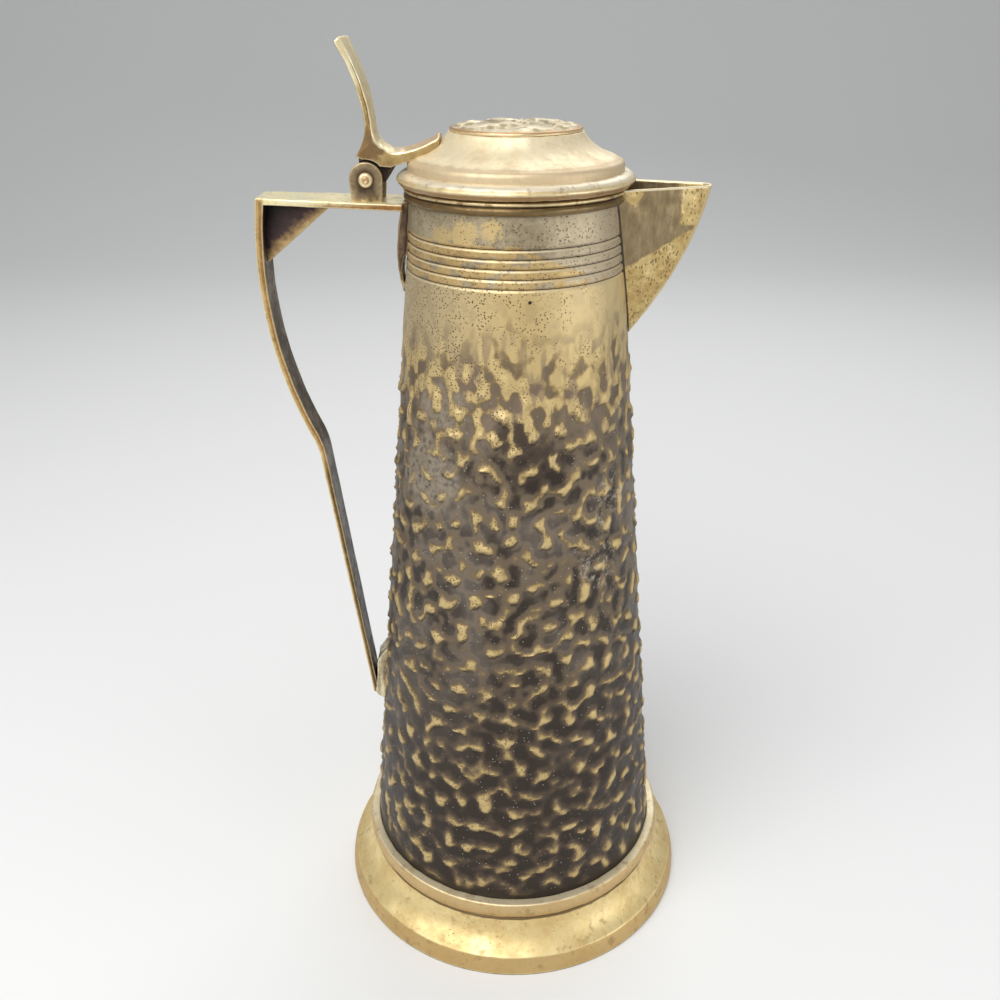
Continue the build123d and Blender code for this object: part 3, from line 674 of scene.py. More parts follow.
def beaten_finish():
    """Wall of the body: dark glossy hollows, bumps rubbed to yellow, a plain yellow zone above."""
    f = Finish("beaten_brass")
    height, across, wear = f.axis("Z"), f.axis("X"), f.mark("wear")
    cloud = f.noise(34, 4, 0.55)
    grain = f.noise(2.4, 5, 0.6)
    fine = f.noise(0.8, 3, 0.6)
    level = height + f.wander(26, 11, 3, 0.5, (1, 1, 2.2))
    rubbed = f.mark("relief") + (grain - 0.5) * 0.5
    rubbed = rubbed + level.rise(90, 190) * 0.06 + level.rise(214, 262) * 0.62
    f.colour = f.ramp(rubbed, ((52, 43, 36), (84, 70, 56), (124, 105, 76), (168, 144, 96), (196, 172, 120)),
                      (0.12, 0.54, 0.69, 0.8, 0.95))
    # Brown ground, grey film, streaks, and painted shade under each bump
    f.lay(level.rise(80, 200) * rubbed.rise(0.75, 0.5) * rubbed.rise(0.02, 0.4) * 0.55, (130, 114, 92))
    f.lay(cloud.rise(0.46, 0.62) * rubbed.rise(0.75, 0.3) * height.rise(70, 170) * 0.4, (138, 128, 116))
    streak = f.noise(3.6, 3, 0.5, (1, 1, 4.5)).rise(0.5, 0.62)
    f.lay(streak * level.rise(280, 258) * level.rise(218, 236) * 0.6, (126, 108, 92))
    f.lay(f.mark("under") * level.rise(262, 234) * 0.75, (40, 30, 24))
    # Plain zone under the neck, greyer on the left as a painted sheen, lighter on the right as a painted
    # highlight
    plain = f.ramp(f.noise(16, 4, 0.5), ((184, 160, 116), (194, 169, 117), (206, 182, 131)),
                   (0.34, 0.5, 0.68))
    plain = f.mix(across.rise(4, -34), plain, (184, 166, 130))
    plain = f.mix(across.rise(2, 22) * 0.8, plain, (216, 194, 146))
    f.lay(level.rise(252, 276) * 0.85, plain)
    dense = (f.noise(9, 3) + across * -0.005).rise(0.36, 0.56)
    pits = f.cells(0.95).rise(0.36, 0.2) * fine.rise(0.32, 0.44) * dense * rubbed.rise(0.6, 0.85)
    f.lay(pits * 0.85, (66, 48, 30))
    f.lay(f.cells(1.7).rise(0.13, 0.06) * f.noise(7, 3).rise(0.42, 0.56) * rubbed.rise(0.8, 0.4), CHALK)
    # Marks at their own places: one pit, two dark patches, a pale painted sheen and a chalky crust
    f.lay(f.patch(4.9, -40.2, 278.8, 0.8, 0.2, 1.0), SOOT_AND_SHADE)
    recess = f.patches((9, -45, 219.8, 13, 0.7, 6), (0, -45, 231, 9, 0.7, 5))
    f.lay(recess * rubbed.rise(0.95, 0.5) * 0.7, (48, 37, 31))
    painted_sheen = f.patches((-33, -32.5, 214, 20, 0.6, 8), (-26, -34, 240, 13, 0.6, 6))
    f.lay(painted_sheen * rubbed.rise(1.0, 0.4) * grain.rise(0.25, 0.6) * 0.7, (164, 152, 134))
    crust = f.patches((33, -37, 179, 12, 0.8, 4), (36, -31, 201, 11, 0.8, 4))
    crust = crust * f.noise(2.6, 5, 0.6).rise(0.48, 0.64) * fine.rise(0.36, 0.56) * 0.6
    f.lay(crust, (196, 188, 172))
    f.lay(height.rise(35, 30.5), (44, 36, 30))
    # Painted shade and painted highlight of the groove at the wall's top.
    f.lay(wear.rise(-0.3, -0.8) * 0.9, SOOT_AND_SHADE)
    f.lay(wear.rise(0.3, 0.8) * 0.7, (222, 208, 170))
    rough = f.blend(grain.rise(0.3, 0.7), f.blend(rubbed.rise(0.4, 0.9), 0.42, 0.44), 0.5)
    return f.done(f.blend(crust, rough, 0.75), 0.55,
                  (1 - pits, 0.7, 0.3), (grain, 0.35, 0.45), (fine, 0.3, 0.1))


def neck_finish():
    """Grooved neck: speckled grey patina, yellow patches and bands, painted shade and highlight lines per
    groove.
    """
    f = Finish("grooved_neck_brass")
    height, across, wear = f.axis("Z"), f.axis("X"), f.mark("wear")
    grain = f.noise(1.5, 5, 0.65)
    fine = f.noise(0.7, 4, 0.6)
    tone = f.noise(12, 4) * 0.6 + grain * 0.4
    grey = f.ramp(tone, ((126, 112, 88), (160, 146, 118), (182, 168, 140)), (0.36, 0.5, 0.62))
    gold = f.ramp(tone, ((160, 132, 86), (186, 158, 106), (206, 180, 128)))
    slant = height + across * 0.42 + f.wander(4, 5, 3)
    bands = slant.rise(297.4, 296.2) * height.rise(297.4, 296.6)
    bands = bands * f.noise(7, 3, 0.5, (1, 1, 0.5)).rise(0.38, 0.46)
    f.colour = f.mix(bands, f.mix(across.rise(4, 24) * 0.7, grey, (196, 180, 152)), gold)
    stain = f.patches((-17.7, -34.2, 299.0, 6.5, 0.9, 2.0), (-25.4, -29.3, 297.6, 5, 0.6, 2.4),
                      (-8, -37.3, 302.0, 4.5, 0.9, 2.0))
    f.lay(stain * height.rise(296.4, 297) * 0.85, (198, 172, 118))
    specks = f.cells(1.1).rise(0.36, 0.2) * fine.rise(0.38, 0.52) * f.noise(6, 3).rise(0.36, 0.56)
    f.lay(specks * 0.8, (78, 64, 46))
    # A dark line of painted shade and a light line of painted highlight at each groove.
    f.lay(wear.rise(-0.3, -0.8) * 0.92, SOOT_AND_SHADE)
    f.lay(wear.rise(0.3, 0.8) * 0.75, (226, 212, 176))
    f.lay(height.rise(306.0, 306.7), SOOT_AND_SHADE)
    return f.done(f.blend(tone.rise(0.4, 0.6), 0.5, 0.38), 0.55,
                  (1 - specks, 0.6, 0.2), (grain, 0.3, 0.22), (f.spun(0.5), 0.35, 0.06))


def spun_finish(name, tones, bands=(), stain=0.3, pitted=0.5, metal=0.8, rough=(0.28, 0.44), ragged=1.2):
    """Turned piece: three tones in clouds, bands of tone at heights, stains, lighter arrises, pits, and
    corners painted dark as shade.

    A band is its lower and upper height, its colour and its share.
    """
    f = Finish(name)
    wear = f.mark("wear")
    cloud = f.noise(15, 4, 0.55)
    grain = f.noise(2.2, 5, 0.6)
    fine = f.noise(0.7, 4, 0.6)
    tone = cloud * 0.65 + grain * 0.35
    f.colour = f.ramp(tone, tones)
    level = f.axis("Z") + f.wander(ragged, 4, 4)
    for low, high, shade, share in bands:
        f.lay(level.rise(low - 0.25, low + 0.25) * level.rise(high + 0.25, high - 0.25) * share, shade)
    # Arrises lighter, as rubbed wear and painted highlight; sharp corners painted dark as shade.
    f.lay(wear.rise(0.25, 0.8) * 0.6, CREAM)
    stains = f.noise(5.5, 5, 0.62).rise(0.56, 0.68)
    f.lay(stains * stain, (120, 84, 50))
    f.lay(wear.rise(-0.12, -0.5) * 0.9, SOOT_AND_SHADE)
    pits = f.cells(1.6).rise(0.2, 0.1) * fine.rise(0.44, 0.56) * f.noise(12, 3).rise(0.44, 0.58)
    f.lay(pits * pitted, (84, 60, 34))
    roughness = f.blend(stains, f.blend(tone.rise(0.4, 0.6), rough[1], rough[0]), 0.52)
    return f.done(roughness, metal,
                  (1 - pits, 0.6, 0.25 * pitted), (grain, 0.22, 0.2), (f.spun(0.45), 0.35, 0.05))


def tongue_finish():
    """Tongue: brown-purple, with one light upright streak and its back painted dark as shade."""
    f = Forged("tongue_brass", 6)
    f.colour = f.tones((80, 62, 50), (112, 90, 68), (140, 116, 86))
    away = abs(f.axis("Y") + 2.4) + (f.tone - 0.5) * 4
    f.lay(away.rise(1.7, 0.7) * 0.85, (208, 190, 150))
    # The back, where the leaf stands on the neck, is painted dark as shade.
    f.lay(f.mark("face").rise(0.5, 0.8) * 0.8, SOOT_AND_SHADE)
    return f.worn((190, 168, 124), lit=0.5)


def wedge_finish():
    """Wedge: upright stripes of grey and cream."""
    f = Forged("wedge_brass", 6)
    stripe = f.noise(2.2, 3, 0.5, (1, 1, 7)) * 0.7 + f.tone * 0.3
    f.colour = f.ramp(stripe, ((132, 118, 92), (184, 170, 138), (232, 220, 184)), (0.38, 0.5, 0.6))
    return f.worn((238, 228, 196), lit=0.6, pitted=0.4)


def strap_finish():
    """Strap: cream top and outside, sides from a painted highlight to orange-brown, inner face in painted
    shade.
    """
    f = Forged("forged_strap_brass")
    face, height, across = f.mark("face"), f.axis("Z"), f.axis("X")
    outside = f.tones((222, 204, 154), (240, 228, 182), (250, 242, 202))
    # Yellow on the sides near the outside is a painted highlight on the rounded edge.
    light = f.tones((166, 136, 86), (188, 160, 106), (208, 184, 134))
    rust = f.tones((128, 88, 50), (158, 116, 66), (182, 142, 88))
    side = f.mix(face.rise(0.35, 0.6), light, rust)
    arm = f.mix((across + face * 26).rise(-70, -34), outside, rust)
    side = f.mix(height.rise(302.6, 303.6) * across.rise(-90.5, -88), side, arm)
    # Below the grip the back of the leg's sides is painted dark as shade.
    leg = f.tones((60, 44, 26), (82, 60, 36), (108, 84, 52))
    side = f.mix(height.rise(214, 196) * face.rise(0.2, 0.5) * 0.85, side, leg)
    # The inner face is painted dark as shade, black near the corner.
    inside = f.tones((60, 46, 28), (84, 66, 40), (112, 92, 56))
    inside = f.mix(height.rise(282, 290), inside, (34, 27, 22))
    inside = f.mix(height.rise(220, 190), inside, (52, 40, 24))
    f.colour = f.mix(face.rise(0.02, 0.1), outside, side)
    f.lay(face.rise(0.9, 0.98), inside)
    f.lay(f.noise(5, 5, 0.62).rise(0.58, 0.68) * 0.5, (112, 76, 44))
    return f.worn((240, 224, 178), metal=0.6, lit=0.55)


def lever_finish():
    """Lever: cream front and tip, olive sides, a brown stain over the hinge, pinkish lid arm."""
    f = Forged("cast_lever_brass", 7)
    face, height, across = f.mark("face"), f.axis("Z"), f.axis("X")
    front = f.tones((206, 184, 138), (226, 208, 162), (242, 230, 190))
    pink = f.tones((198, 164, 124), (224, 194, 152), (240, 216, 178))
    front = f.mix(across.rise(-44, -38), front, pink)
    side = f.tones((150, 124, 78), (178, 152, 100), (204, 180, 128))
    side = f.mix((height + f.grain * 4).rise(344, 349), side, front)
    side = f.mix(f.patch(-50, -7, 325, 7, 0.7, 3) * 0.7, side, (104, 72, 44))
    f.colour = f.mix(face.rise(0.04, 0.16), front, side)
    # The back face, under the lever, is painted darker as shade.
    f.lay(face.rise(0.88, 0.97), f.tones((96, 78, 50), (132, 110, 72), (160, 138, 96)))
    ridge = face.rise(0.3, 0.24) * face.rise(0.12, 0.18) * height.rise(330, 334) * height.rise(353, 349)
    f.lay(ridge * 0.85, (74, 56, 34))
    f.lay(f.patches((-47.5, -7, 329.5, 1.6, 0.6, 1), (-41, -7, 324, 1.4, 0.6, 1)) * 0.7, VERDIGRIS)
    return f.worn((244, 232, 196), lit=0.5, pitted=0.5)


def spout_finish():
    """Spout: a dull streaky field, pitted yellow fields below and at the tip, a smooth bright keel."""
    f = Forged("folded_spout_brass", 8)
    height, across = f.axis("Z"), f.axis("X")
    dull = f.ramp(f.noise(2.2, 4, 0.6, (1, 1, 4)), ((122, 104, 74), (134, 116, 84), (147, 129, 97)))
    gold = f.tones((166, 138, 84), (190, 164, 108), (212, 190, 136))
    wander = f.wander(3.0, 4, 4)
    lower = (height - across * 0.533 + wander).rise(263.2, 262.2)
    tip = (across + wander).rise(57.6, 58.6) * (height + wander).rise(297.2, 298.4)
    bright = f.most(lower, tip, f.patch(40.8, -13.1, 309.2, 4, 0.7, 2))
    f.colour = f.mix(bright, dull, gold)
    pits = f.cells(1.05, (1, 1, 1.7)).rise(0.44, 0.26) * f.noise(4, 4).rise(0.4, 0.52) * bright
    f.lay(pits * 0.75, (104, 82, 44))
    f.lay(abs(f.axis("Y")).rise(4.6, 3.4) * across.rise(42, 46) * 0.8, (214, 192, 142))
    f.lay(height.rise(310.2, 310.8), (226, 212, 176))
    cone = RIM_RADIUS + BODY_TAPER * RIM_HEIGHT
    seam = (f.radius() + height * BODY_TAPER).rise(cone + 0.75, cone + 0.45)
    f.lay(seam * 0.9, SOOT_AND_SHADE)
    return f.worn((236, 222, 184), metal=0.6, pitted=0.4)


def gusset_finish():
    """Web: painted shade, black in the corner under the arm, then purple-brown, yellow along its free edge.

    The tone follows the distance from the free edge, which runs down from GUSSET_RUN.
    """
    f = Forged("gusset_brass", 5)
    # Painted shade: darker with the distance from the free edge, black in the corner under the arm.
    fall = (f.axis("X") - GUSSET_RUN[0]) * -0.6358 + (f.axis("Z") - GUSSET_RUN[1]) * 0.7716
    f.colour = f.ramp(fall / 16 + (f.tone - 0.5) * 0.8,
                      ((190, 162, 110), (140, 112, 78), (70, 53, 51), (44, 34, 33), (22, 18, 16)),
                      (0.02, 0.14, 0.28, 0.6, 0.88))
    return f.worn((200, 174, 122), metal=0.5, lit=0.3)


def hinge_finish(name, shades, edge, ring):
    """Eye on the pin: pinkish brown, light arris, and a dark ring round the boss."""
    f = Forged(name, 5)
    f.colour = f.tones(*shades)
    f.lay((f.mark("near") + (f.grain - 0.5) * 0.6).rise(0.3, 0.8) * ring, SOOT_AND_SHADE)
    return f.worn(edge)


def disc_finish():
    """Lid's disc: grey-beige relief with an orange-brown worn edge."""
    f = Forged("lid_disc_brass", 7)
    f.colour = f.tones((168, 154, 122), (192, 178, 144), (212, 200, 168))
    bump = f.mark("relief") + (f.grain - 0.5) * 0.5
    f.lay(bump.rise(0.4, 0.0) * 0.35, (146, 132, 106))
    f.lay(bump.rise(0.5, 1.0) * 0.35, (222, 208, 176))
    f.lay((f.radius() + f.wander(2.4, 4, 4)).rise(21.2, 22.4) * 0.8, (190, 148, 98))
    return f.worn((244, 228, 186), lit=0.6, pitted=0.4)


# Body and spout


def nose_radius(height):
    """Outer radius of the spout's keel at a height."""
    return SPOUT_NOSE + (SPOUT_NOSE_FOOT - SPOUT_NOSE) * (SPOUT_TOP - height) / SPOUT_DEPTH


def keel_reach(height):
    """Reach of the spout's keel: a straight fall to the neck plus its bow."""
    foot = SPOUT_TOP - SPOUT_DEPTH
    share = (height - foot) / SPOUT_DEPTH
    root = body_radius(foot)
    return root + (SPOUT_TIP - root) * share + 4 * SPOUT_BOW * share * (1 - share)


def side_angle(height, inset, radius):
    """Angle from the spout's middle at which its side, drawn in by an inset, crosses a radius."""
    nose = nose_radius(height)
    touch_x = keel_reach(height) - nose + (nose - inset) * sin(SPOUT_LEAN)
    touch_y = (nose - inset) * cos(SPOUT_LEAN)
    reach = (touch_y + touch_x * tan(SPOUT_LEAN)) * cos(SPOUT_LEAN)
    return np.arcsin(reach / radius) - SPOUT_LEAN


def column_angles(height):
    """Angles of the body's columns at each height.

    The columns stand one degree apart. Those within 60 degrees of the spout are drawn aside in
    proportion, so that one on each side follows the window's edge.
    """
    above = np.maximum(height, WINDOW_FOOT)
    edge = side_angle(above, WINDOW_MARGIN, body_radius(above))
    edge = edge + (WINDOW_REST - edge) * smooth(0, WINDOW_EASE, WINDOW_FOOT - height)
    edge = edge[:, None]
    base = np.linspace(-pi, pi, BODY_COLUMNS + 1)
    near = abs(base)
    inside = near / WINDOW_REST * edge
    between = edge + (near - WINDOW_REST) * (WINDOW_FAR - edge) / (WINDOW_FAR - WINDOW_REST)
    beside = np.where(near < WINDOW_FAR, between, near)
    return np.sign(base) * np.where(near <= WINDOW_REST, inside, beside)


def body_rows(*spans):
    """Heights of the body's rows, from spans of (low, high, count)."""
    return np.concatenate([np.linspace(*span)[i > 0:] for i, span in enumerate(spans)])


def groove_fall(height):
    """Depth of the turned grooves at a height, a parabola across each."""
    fall = [np.maximum(0, 1 - ((height - middle) / GROOVE_REACH) ** 2) for middle in GROOVES]
    return GROOVE_DEPTH * np.sum(fall, axis=0)


def beaten_field(height, angle):
    """Relief of the beaten wall in millimetres, its tone from 0 to 1, and how steep it is from below.

    Two waves of noise are cut off at a level, which leaves rounded islands. Each height then reads
    the islands a little higher up the more of them stands there, which steepens their lower edges.
    A long soft wave and shallow upright flutes near the top are added.
    """
    rows, columns, tall = 640, 768, 256.0
    row_step, column_step = tall / rows, 2 * pi * 50 / columns
    coarse = band_noise(rows, columns, row_step, column_step, 10, 11, 0.28)
    medium = band_noise(rows, columns, row_step, column_step, 5.6, 12)
    waves = 0.95 * coarse + 0.35 * medium
    islands = smooth(0.3, 1.7, waves)
    tones = smooth(-1.3, 2.1, waves)
    roll = band_noise(rows, columns, row_step, column_step, 24, 13)
    flute = band_noise(rows, columns, row_step * 0.16, column_step, 5, 14)
    column = (angle + pi) / (2 * pi) * columns

    def read(field, up=0.0):
        """Field at the body's own heights and angles."""
        return sample(field, (height[:, None] + up - SOCKET_HEIGHT) / row_step, column)

    bump = read(islands)
    tone = read(tones, 1.3 * bump)
    bump = read(islands, 1.3 * bump)
    reach = (smooth(268, 236, height) * smooth(30, 42, height))[:, None]
    bump = bump * reach
    streak = read(flute) * (smooth(276, 262, height) * smooth(228, 244, height))[:, None]
    rise = RELIEF_HEIGHT * bump + ROLL_HEIGHT * read(roll) * reach + 0.09 * streak - 0.28 * reach
    steep = np.gradient(RELIEF_HEIGHT * bump, height, axis=0)
    return rise, tone, smooth(0.12, 0.5, steep)


def make_body(name, finish, outer_heights, window_row, relief):
    """Ring of the body's wall as one closed grid: up the outside, over, down the inside and under.

    The radius is the plain cone's, less the grooves, plus the relief; the inside stands one wall in.
    Faces within the window's columns and above its foot are left out, and strips close the cut.
    """
    inner_heights = outer_heights[::-1]
    if relief:
        top = outer_heights[outer_heights >= WINDOW_FOOT]
        lower = np.linspace(SOCKET_HEIGHT, WINDOW_FOOT, 9)[:-1]
        inner_heights = np.r_[lower, top][::-1]
    outer_angle, inner_angle = column_angles(outer_heights), column_angles(inner_heights)
    rise = bump = under = np.zeros_like(outer_angle)
    if relief:
        # The third field marks the steep undersides of the bumps, which the finish paints dark as shade.
        rise, bump, under = beaten_field(outer_heights, outer_angle)
        for field in (rise, bump, under):
            field[:, -1] = field[:, 0]
    outer_radius = body_radius(outer_heights)[:, None] - groove_fall(outer_heights)[:, None] + rise
    inner_radius = body_radius(inner_heights)[:, None] - BODY_WALL + 0 * inner_angle

    outer = round_axis(outer_radius, outer_angle, outer_heights[:, None])
    inner = round_axis(inner_radius, inner_angle, inner_heights[:, None])
    points = np.concatenate([outer, inner, outer[:1]])
    count = len(outer_heights)
    left = BODY_COLUMNS // 2 - int(round(np.degrees(WINDOW_REST)))
    right = BODY_COLUMNS - left
    keep = np.ones((len(points) - 1, BODY_COLUMNS), dtype=bool)
    cut = count - window_row
    keep[window_row:count + cut - 1, left:right] = False
    if window_row == 0:
        keep[-1, left:right] = False
    # Each groove gets a dark line of painted shade on its upper wall and a light line of painted highlight
    # on its lower wall.
    gap = outer_heights[:, None] - np.array(GROOVES)
    line = np.exp(-((gap + 0.55) / 0.25) ** 2) - np.exp(-((gap - 0.1) / 0.24) ** 2)
    wear = line.sum(axis=1)[:, None] + 0 * outer_angle
    flat = np.zeros_like(inner_angle)

    def whole(values):
        """Values of the outside, with none inside."""
        return np.concatenate([values, flat, values[:1]])

    ring = sheet(points, keep, relief=whole(bump), under=whole(under), wear=whole(wear))
    wall_out, wall_in = outer[window_row:], inner[:cut][::-1]
    strips = [sheet(np.stack([wall_out[:, left], wall_in[:, left]], axis=1)),
              sheet(np.stack([wall_in[:, right], wall_out[:, right]], axis=1))]
    if window_row:
        strips.append(sheet(np.stack([wall_in[0, left:right + 1], wall_out[0, left:right + 1]], axis=1)))
    make_piece(name, "body_shell", "jug", "body_brass", finish, ring, *strips)


def spout_point(along, nose, centre):
    """Place on the V at a length from its keel: round the nose as far as it goes, then straight back."""
    bend = nose * (pi / 2 - SPOUT_LEAN)
    turn = np.minimum(along, bend) / nose
    beyond = np.maximum(along - bend, 0)
    x = centre + nose * np.cos(turn) - beyond * cos(SPOUT_LEAN)
    y = nose * np.sin(turn) + beyond * sin(SPOUT_LEAN)
    return x, y


def spout_line(height, inset, shares):
    """Half of the V at each height, drawn in by an inset, from keel to body.

    The length at which it enters the body's wall is found by halving an interval.
    """
    nose = (nose_radius(height) - inset)[:, None]
    centre = (keel_reach(height) - nose_radius(height))[:, None]
    goal = (body_radius(height) - BODY_WALL / 2)[:, None]
    low, high = np.zeros_like(goal), np.full_like(goal, 60.0)
    for _ in range(40):
        middle = (low + high) / 2
        x, y = spout_point(middle, nose, centre)
        outside = np.hypot(x, y) > goal
        low, high = np.where(outside, middle, low), np.where(outside, high, middle)
    return spout_point(np.maximum(low, SPOUT_LEAST) * shares, nose, centre)


def make_spout(finish):
    """Folded sheet: a V in plan at each height, with its outer and inner faces joined over the rim."""
    share = np.linspace(0, 1, 44) ** 1.25
    fall = np.linspace(0, 1, 70) ** 1.1
    outer_heights = SPOUT_TOP - SPOUT_BRIM - (SPOUT_DEPTH - SPOUT_BRIM + SPOUT_TUCK) * fall
    height = np.r_[outer_heights[::-1], SPOUT_TOP - np.array([0.15, 0, 0, 0.15]), outer_heights]
    inset = np.r_[0 * outer_heights + SPOUT_WALL, SPOUT_WALL - 0.12, SPOUT_WALL - 0.4, 0.4, 0.12,
                  0 * outer_heights]
    x, y = np.empty((2, len(height), len(share)))
    for depth in np.unique(inset):
        chosen = inset == depth
        x[chosen], y[chosen] = spout_line(height[chosen], depth, share)
    dent = 0.12 * band_noise(len(height), len(share), 0.9, 0.8, 9, 31)
    dent = dent * smooth(0.0, 0.3, share) * smooth(0.0, 3.0, SPOUT_TOP - height)[:, None]
    y = y + dent * smooth(0, 2, y)
    x = np.hstack([x[:, :0:-1], x])
    y = np.hstack([-y[:, :0:-1], y])
    points = np.stack([x, y, height[:, None] + 0 * x], axis=-1)
    points = np.concatenate([points, points[:1]])
    wear = np.clip(1 - (SPOUT_TOP - height), 0, 1)
    wear = np.r_[wear, wear[:1]][:, None] + 0 * points[..., 0]
    half = len(points) // 2
    ends = [sheet(np.stack([points[:half, i], points[2 * half - 1:half - 1:-1, i]], axis=1))
            for i in (0, -1)]
    ends[0]["points"] = ends[0]["points"][:, ::-1]
    make_piece("spout_folded", "spout", "jug", "body_brass", finish, sheet(points, wear=wear), *ends)


def make_mouth_ring(finish):
    """Collar of two beads: a closed line turned from one side of the spout round to the other.

    Each point stops where its own radius meets the spout's side.
    """
    low, split, high, radius, swell = 306.6, 309.4, RIM_HEIGHT, 39.2, 0.8
    line = profile((body_radius(low), low), (radius, low, 0, 6), (radius, split, -swell, 20),
                   (radius, high, -swell, 14), (RIM_RADIUS, high, 0, 6), (body_radius(low), low, 0, 10))
    line = eased(even(line, 0.16), 0.13)
    wear = np.clip(spread_along(turning(line), 1) * 0.4, -1, 1)
    line, wear = np.vstack([line, line[:1]]), np.r_[wear, wear[:1]]
    start = side_angle(SPOUT_TOP, 0.5, line[:, 0])[:, None]
    angle = start + (2 * pi - 2 * start) * np.linspace(0, 1, 260)
    field = band_noise(len(line) - 1, 260, 0.16, 0.95, 7, 41)
    field = np.vstack([field, field[:1]])
    radius = line[:, :1] + 0.05 * field * smooth(38.5, 39.5, line[:, :1])
    points = round_axis(radius, angle, line[:, 1:])
    caps = [np.repeat(points[:, i].mean(axis=0)[None, None], len(points), axis=0) for i in (0, -1)]
    points = np.concatenate([caps[0], points, caps[1]], axis=1)
    make_piece("mouth_ring_beaded", "mouth_ring", "jug", "lid_brass", finish,
               sheet(points, wear=wear[:, None]))


def make_foot(finish):
    """Spun foot: rest band, hollow moulding, undercut, step bead and the seat for the body."""
    line = eased(even(profile(*FOOT_LINE), LATHE_STEP), 0.28)
    make_piece("foot_ring_spun", "foot_ring", "jug", "foot_brass", finish,
               turned(line, dent=0.06, dent_size=14, seed=51, calm=(3, 10)))


def make_bottom(finish):
    """Dished bottom with an upturned edge, seen only from inside and below."""
    make_piece("bottom_dish", "base_plate", "jug", "foot_brass", finish,
               turned_solid(BOTTOM_LINE, step=1.0, reach=0.25))


# Handle


def arm_top(x):
    """Height of the arm's upper face at a station."""
    return ARM_ROOT + ARM_RISE * (-x - RIM_RADIUS) / ARM_LENGTH


def rounded_turn(before, corner, after, count=12):
    """Points of a quadratic curve that leaves one line and joins another about their corner."""
    share = np.linspace(0, 1, count)[:, None]
    before, corner, after = (np.array(point) for point in (before, corner, after))
    return before * (1 - share) ** 2 + 2 * corner * share * (1 - share) + after * share ** 2


def grip_line(head, middle, elbow, end, setback=0.062, reach=5.2):
    """Bowed grip, eased elbow and straight leg: a circle's arc, a quadratic turn and a line."""
    grip = arc(head, middle, elbow, np.linspace(0, 1 - setback, 56))
    elbow, end = np.array(elbow), np.array(end)
    way = (end - elbow) / np.hypot(*(end - elbow))
    turn = rounded_turn(grip[-1], elbow, elbow + way * reach, 12)
    leg = (elbow + way * reach) + (end - elbow - way * reach) * np.linspace(0, 1, 40)[:, None]
    return np.vstack([grip, turn[1:-1], leg])


def make_strap(finish):
    """The handle's strap in one sweep: arm, corner, grip, elbow and leg, between two side lines.

    Each station pairs a point of the outer line with one of the inner line; the width runs from
    23 mm at the root through 15 mm at the corner to 10 mm at the leg's end.
    """
    arm_x = np.linspace(-39.6, GRIP_OUTER[0][0] + 3.2, 44)
    top = np.column_stack([arm_x, arm_top(arm_x)])
    under = top - (0, ARM_THICKNESS)
    inner_corner = under[-1]
    corner_x = -ARM_REACH + CORNER_BEVEL
    corner = np.vstack([bow(top[-1], (corner_x, arm_top(corner_x)), 0, 5),
                        rounded_turn((corner_x, arm_top(corner_x)), (-ARM_REACH, ARM_CORNER),
                                     (-ARM_REACH, ARM_CORNER - CORNER_BEVEL), 6)])
    leg_x = -body_radius(LEG_END) - LEG_STAND
    outer = grip_line(*GRIP_OUTER, (leg_x, LEG_END + 0.2))
    inner = grip_line(inner_corner, *GRIP_INNER, (leg_x + ARM_THICKNESS, LEG_END + 0.2))
    front = np.vstack([top, corner[1:], outer])
    back = np.vstack([under, np.repeat(inner_corner[None], len(corner) - 1, axis=0), inner])
    width_arm = np.interp(-arm_x, [39.8, 95.7], [11.5, 7.6])
    width_low = np.interp(outer[:, 1], [LEG_END, 212, ARM_CORNER], [5.1, 6.3, 7.5])
    width = np.r_[width_arm, np.full(len(corner) - 1, 7.55), width_low]
    make_piece("handle_strap_bent", "handle_strap", "jug", "handle_brass", finish,
               ribbon(front, back, width, corner=0.45, flat=11, dent=0.03, dent_size=14, seed=61))


def make_gusset(finish):
    """Thin web in the corner: its free edge is straight, its other edge lies inside the strap."""
    share = np.linspace(0, 1, 40)[:, None]
    run, drop = np.array(GUSSET_RUN), np.array(GUSSET_DROP)
    front = run + (drop - run) * share
    corner = np.array(GUSSET_CORNER)
    back = np.where(share < 0.5, run + (0, 1.0) + (corner - run - (0, 1.0)) * 2 * share,
                    corner + (drop - (1.4, 0) - corner) * (2 * share - 1))
    make_piece("gusset_web", "handle_gusset", "jug", "handle_brass", finish,
               ribbon(front, back, np.full(40, 0.8), corner=0.3, flat=1))


def make_tongue(finish):
    """Leaf-shaped plate on the neck: bowed outer line, flat above and hollow behind its foot."""
    height = np.linspace(TONGUE_TOP, TONGUE_TOP - TONGUE_HEIGHT, 70)
    share = (TONGUE_TOP - height) / TONGUE_HEIGHT
    stand = (1.8 + (0.5 - 1.8) * share) + 4 * TONGUE_BOW * share * (1 - share)
    front = np.column_stack([-body_radius(height) - stand, height])
    hollow = np.clip((height - 276.0) / 12.0, 0, 1)
    seat = smooth(286.5, 289, height) + smooth(277.5, 275.5, height)
    inner = TONGUE_HOLLOW * (4 * hollow * (1 - hollow)) - TONGUE_HOLLOW * seat
    back = np.column_stack([-body_radius(height) - np.minimum(inner, stand - 0.3), height])
    leaf = np.clip((289.0 - height) / 16.5, 0, 1)
    width = 7.6 * (1 - leaf) + 4 * 1.2 * leaf * (1 - leaf) + 0.35 * leaf
    make_piece("tongue_leaf", "handle_tongue", "jug", "handle_brass", finish,
               ribbon(front, back, width, corner=0.35, flat=7, dent=0.05, dent_size=6, seed=63))


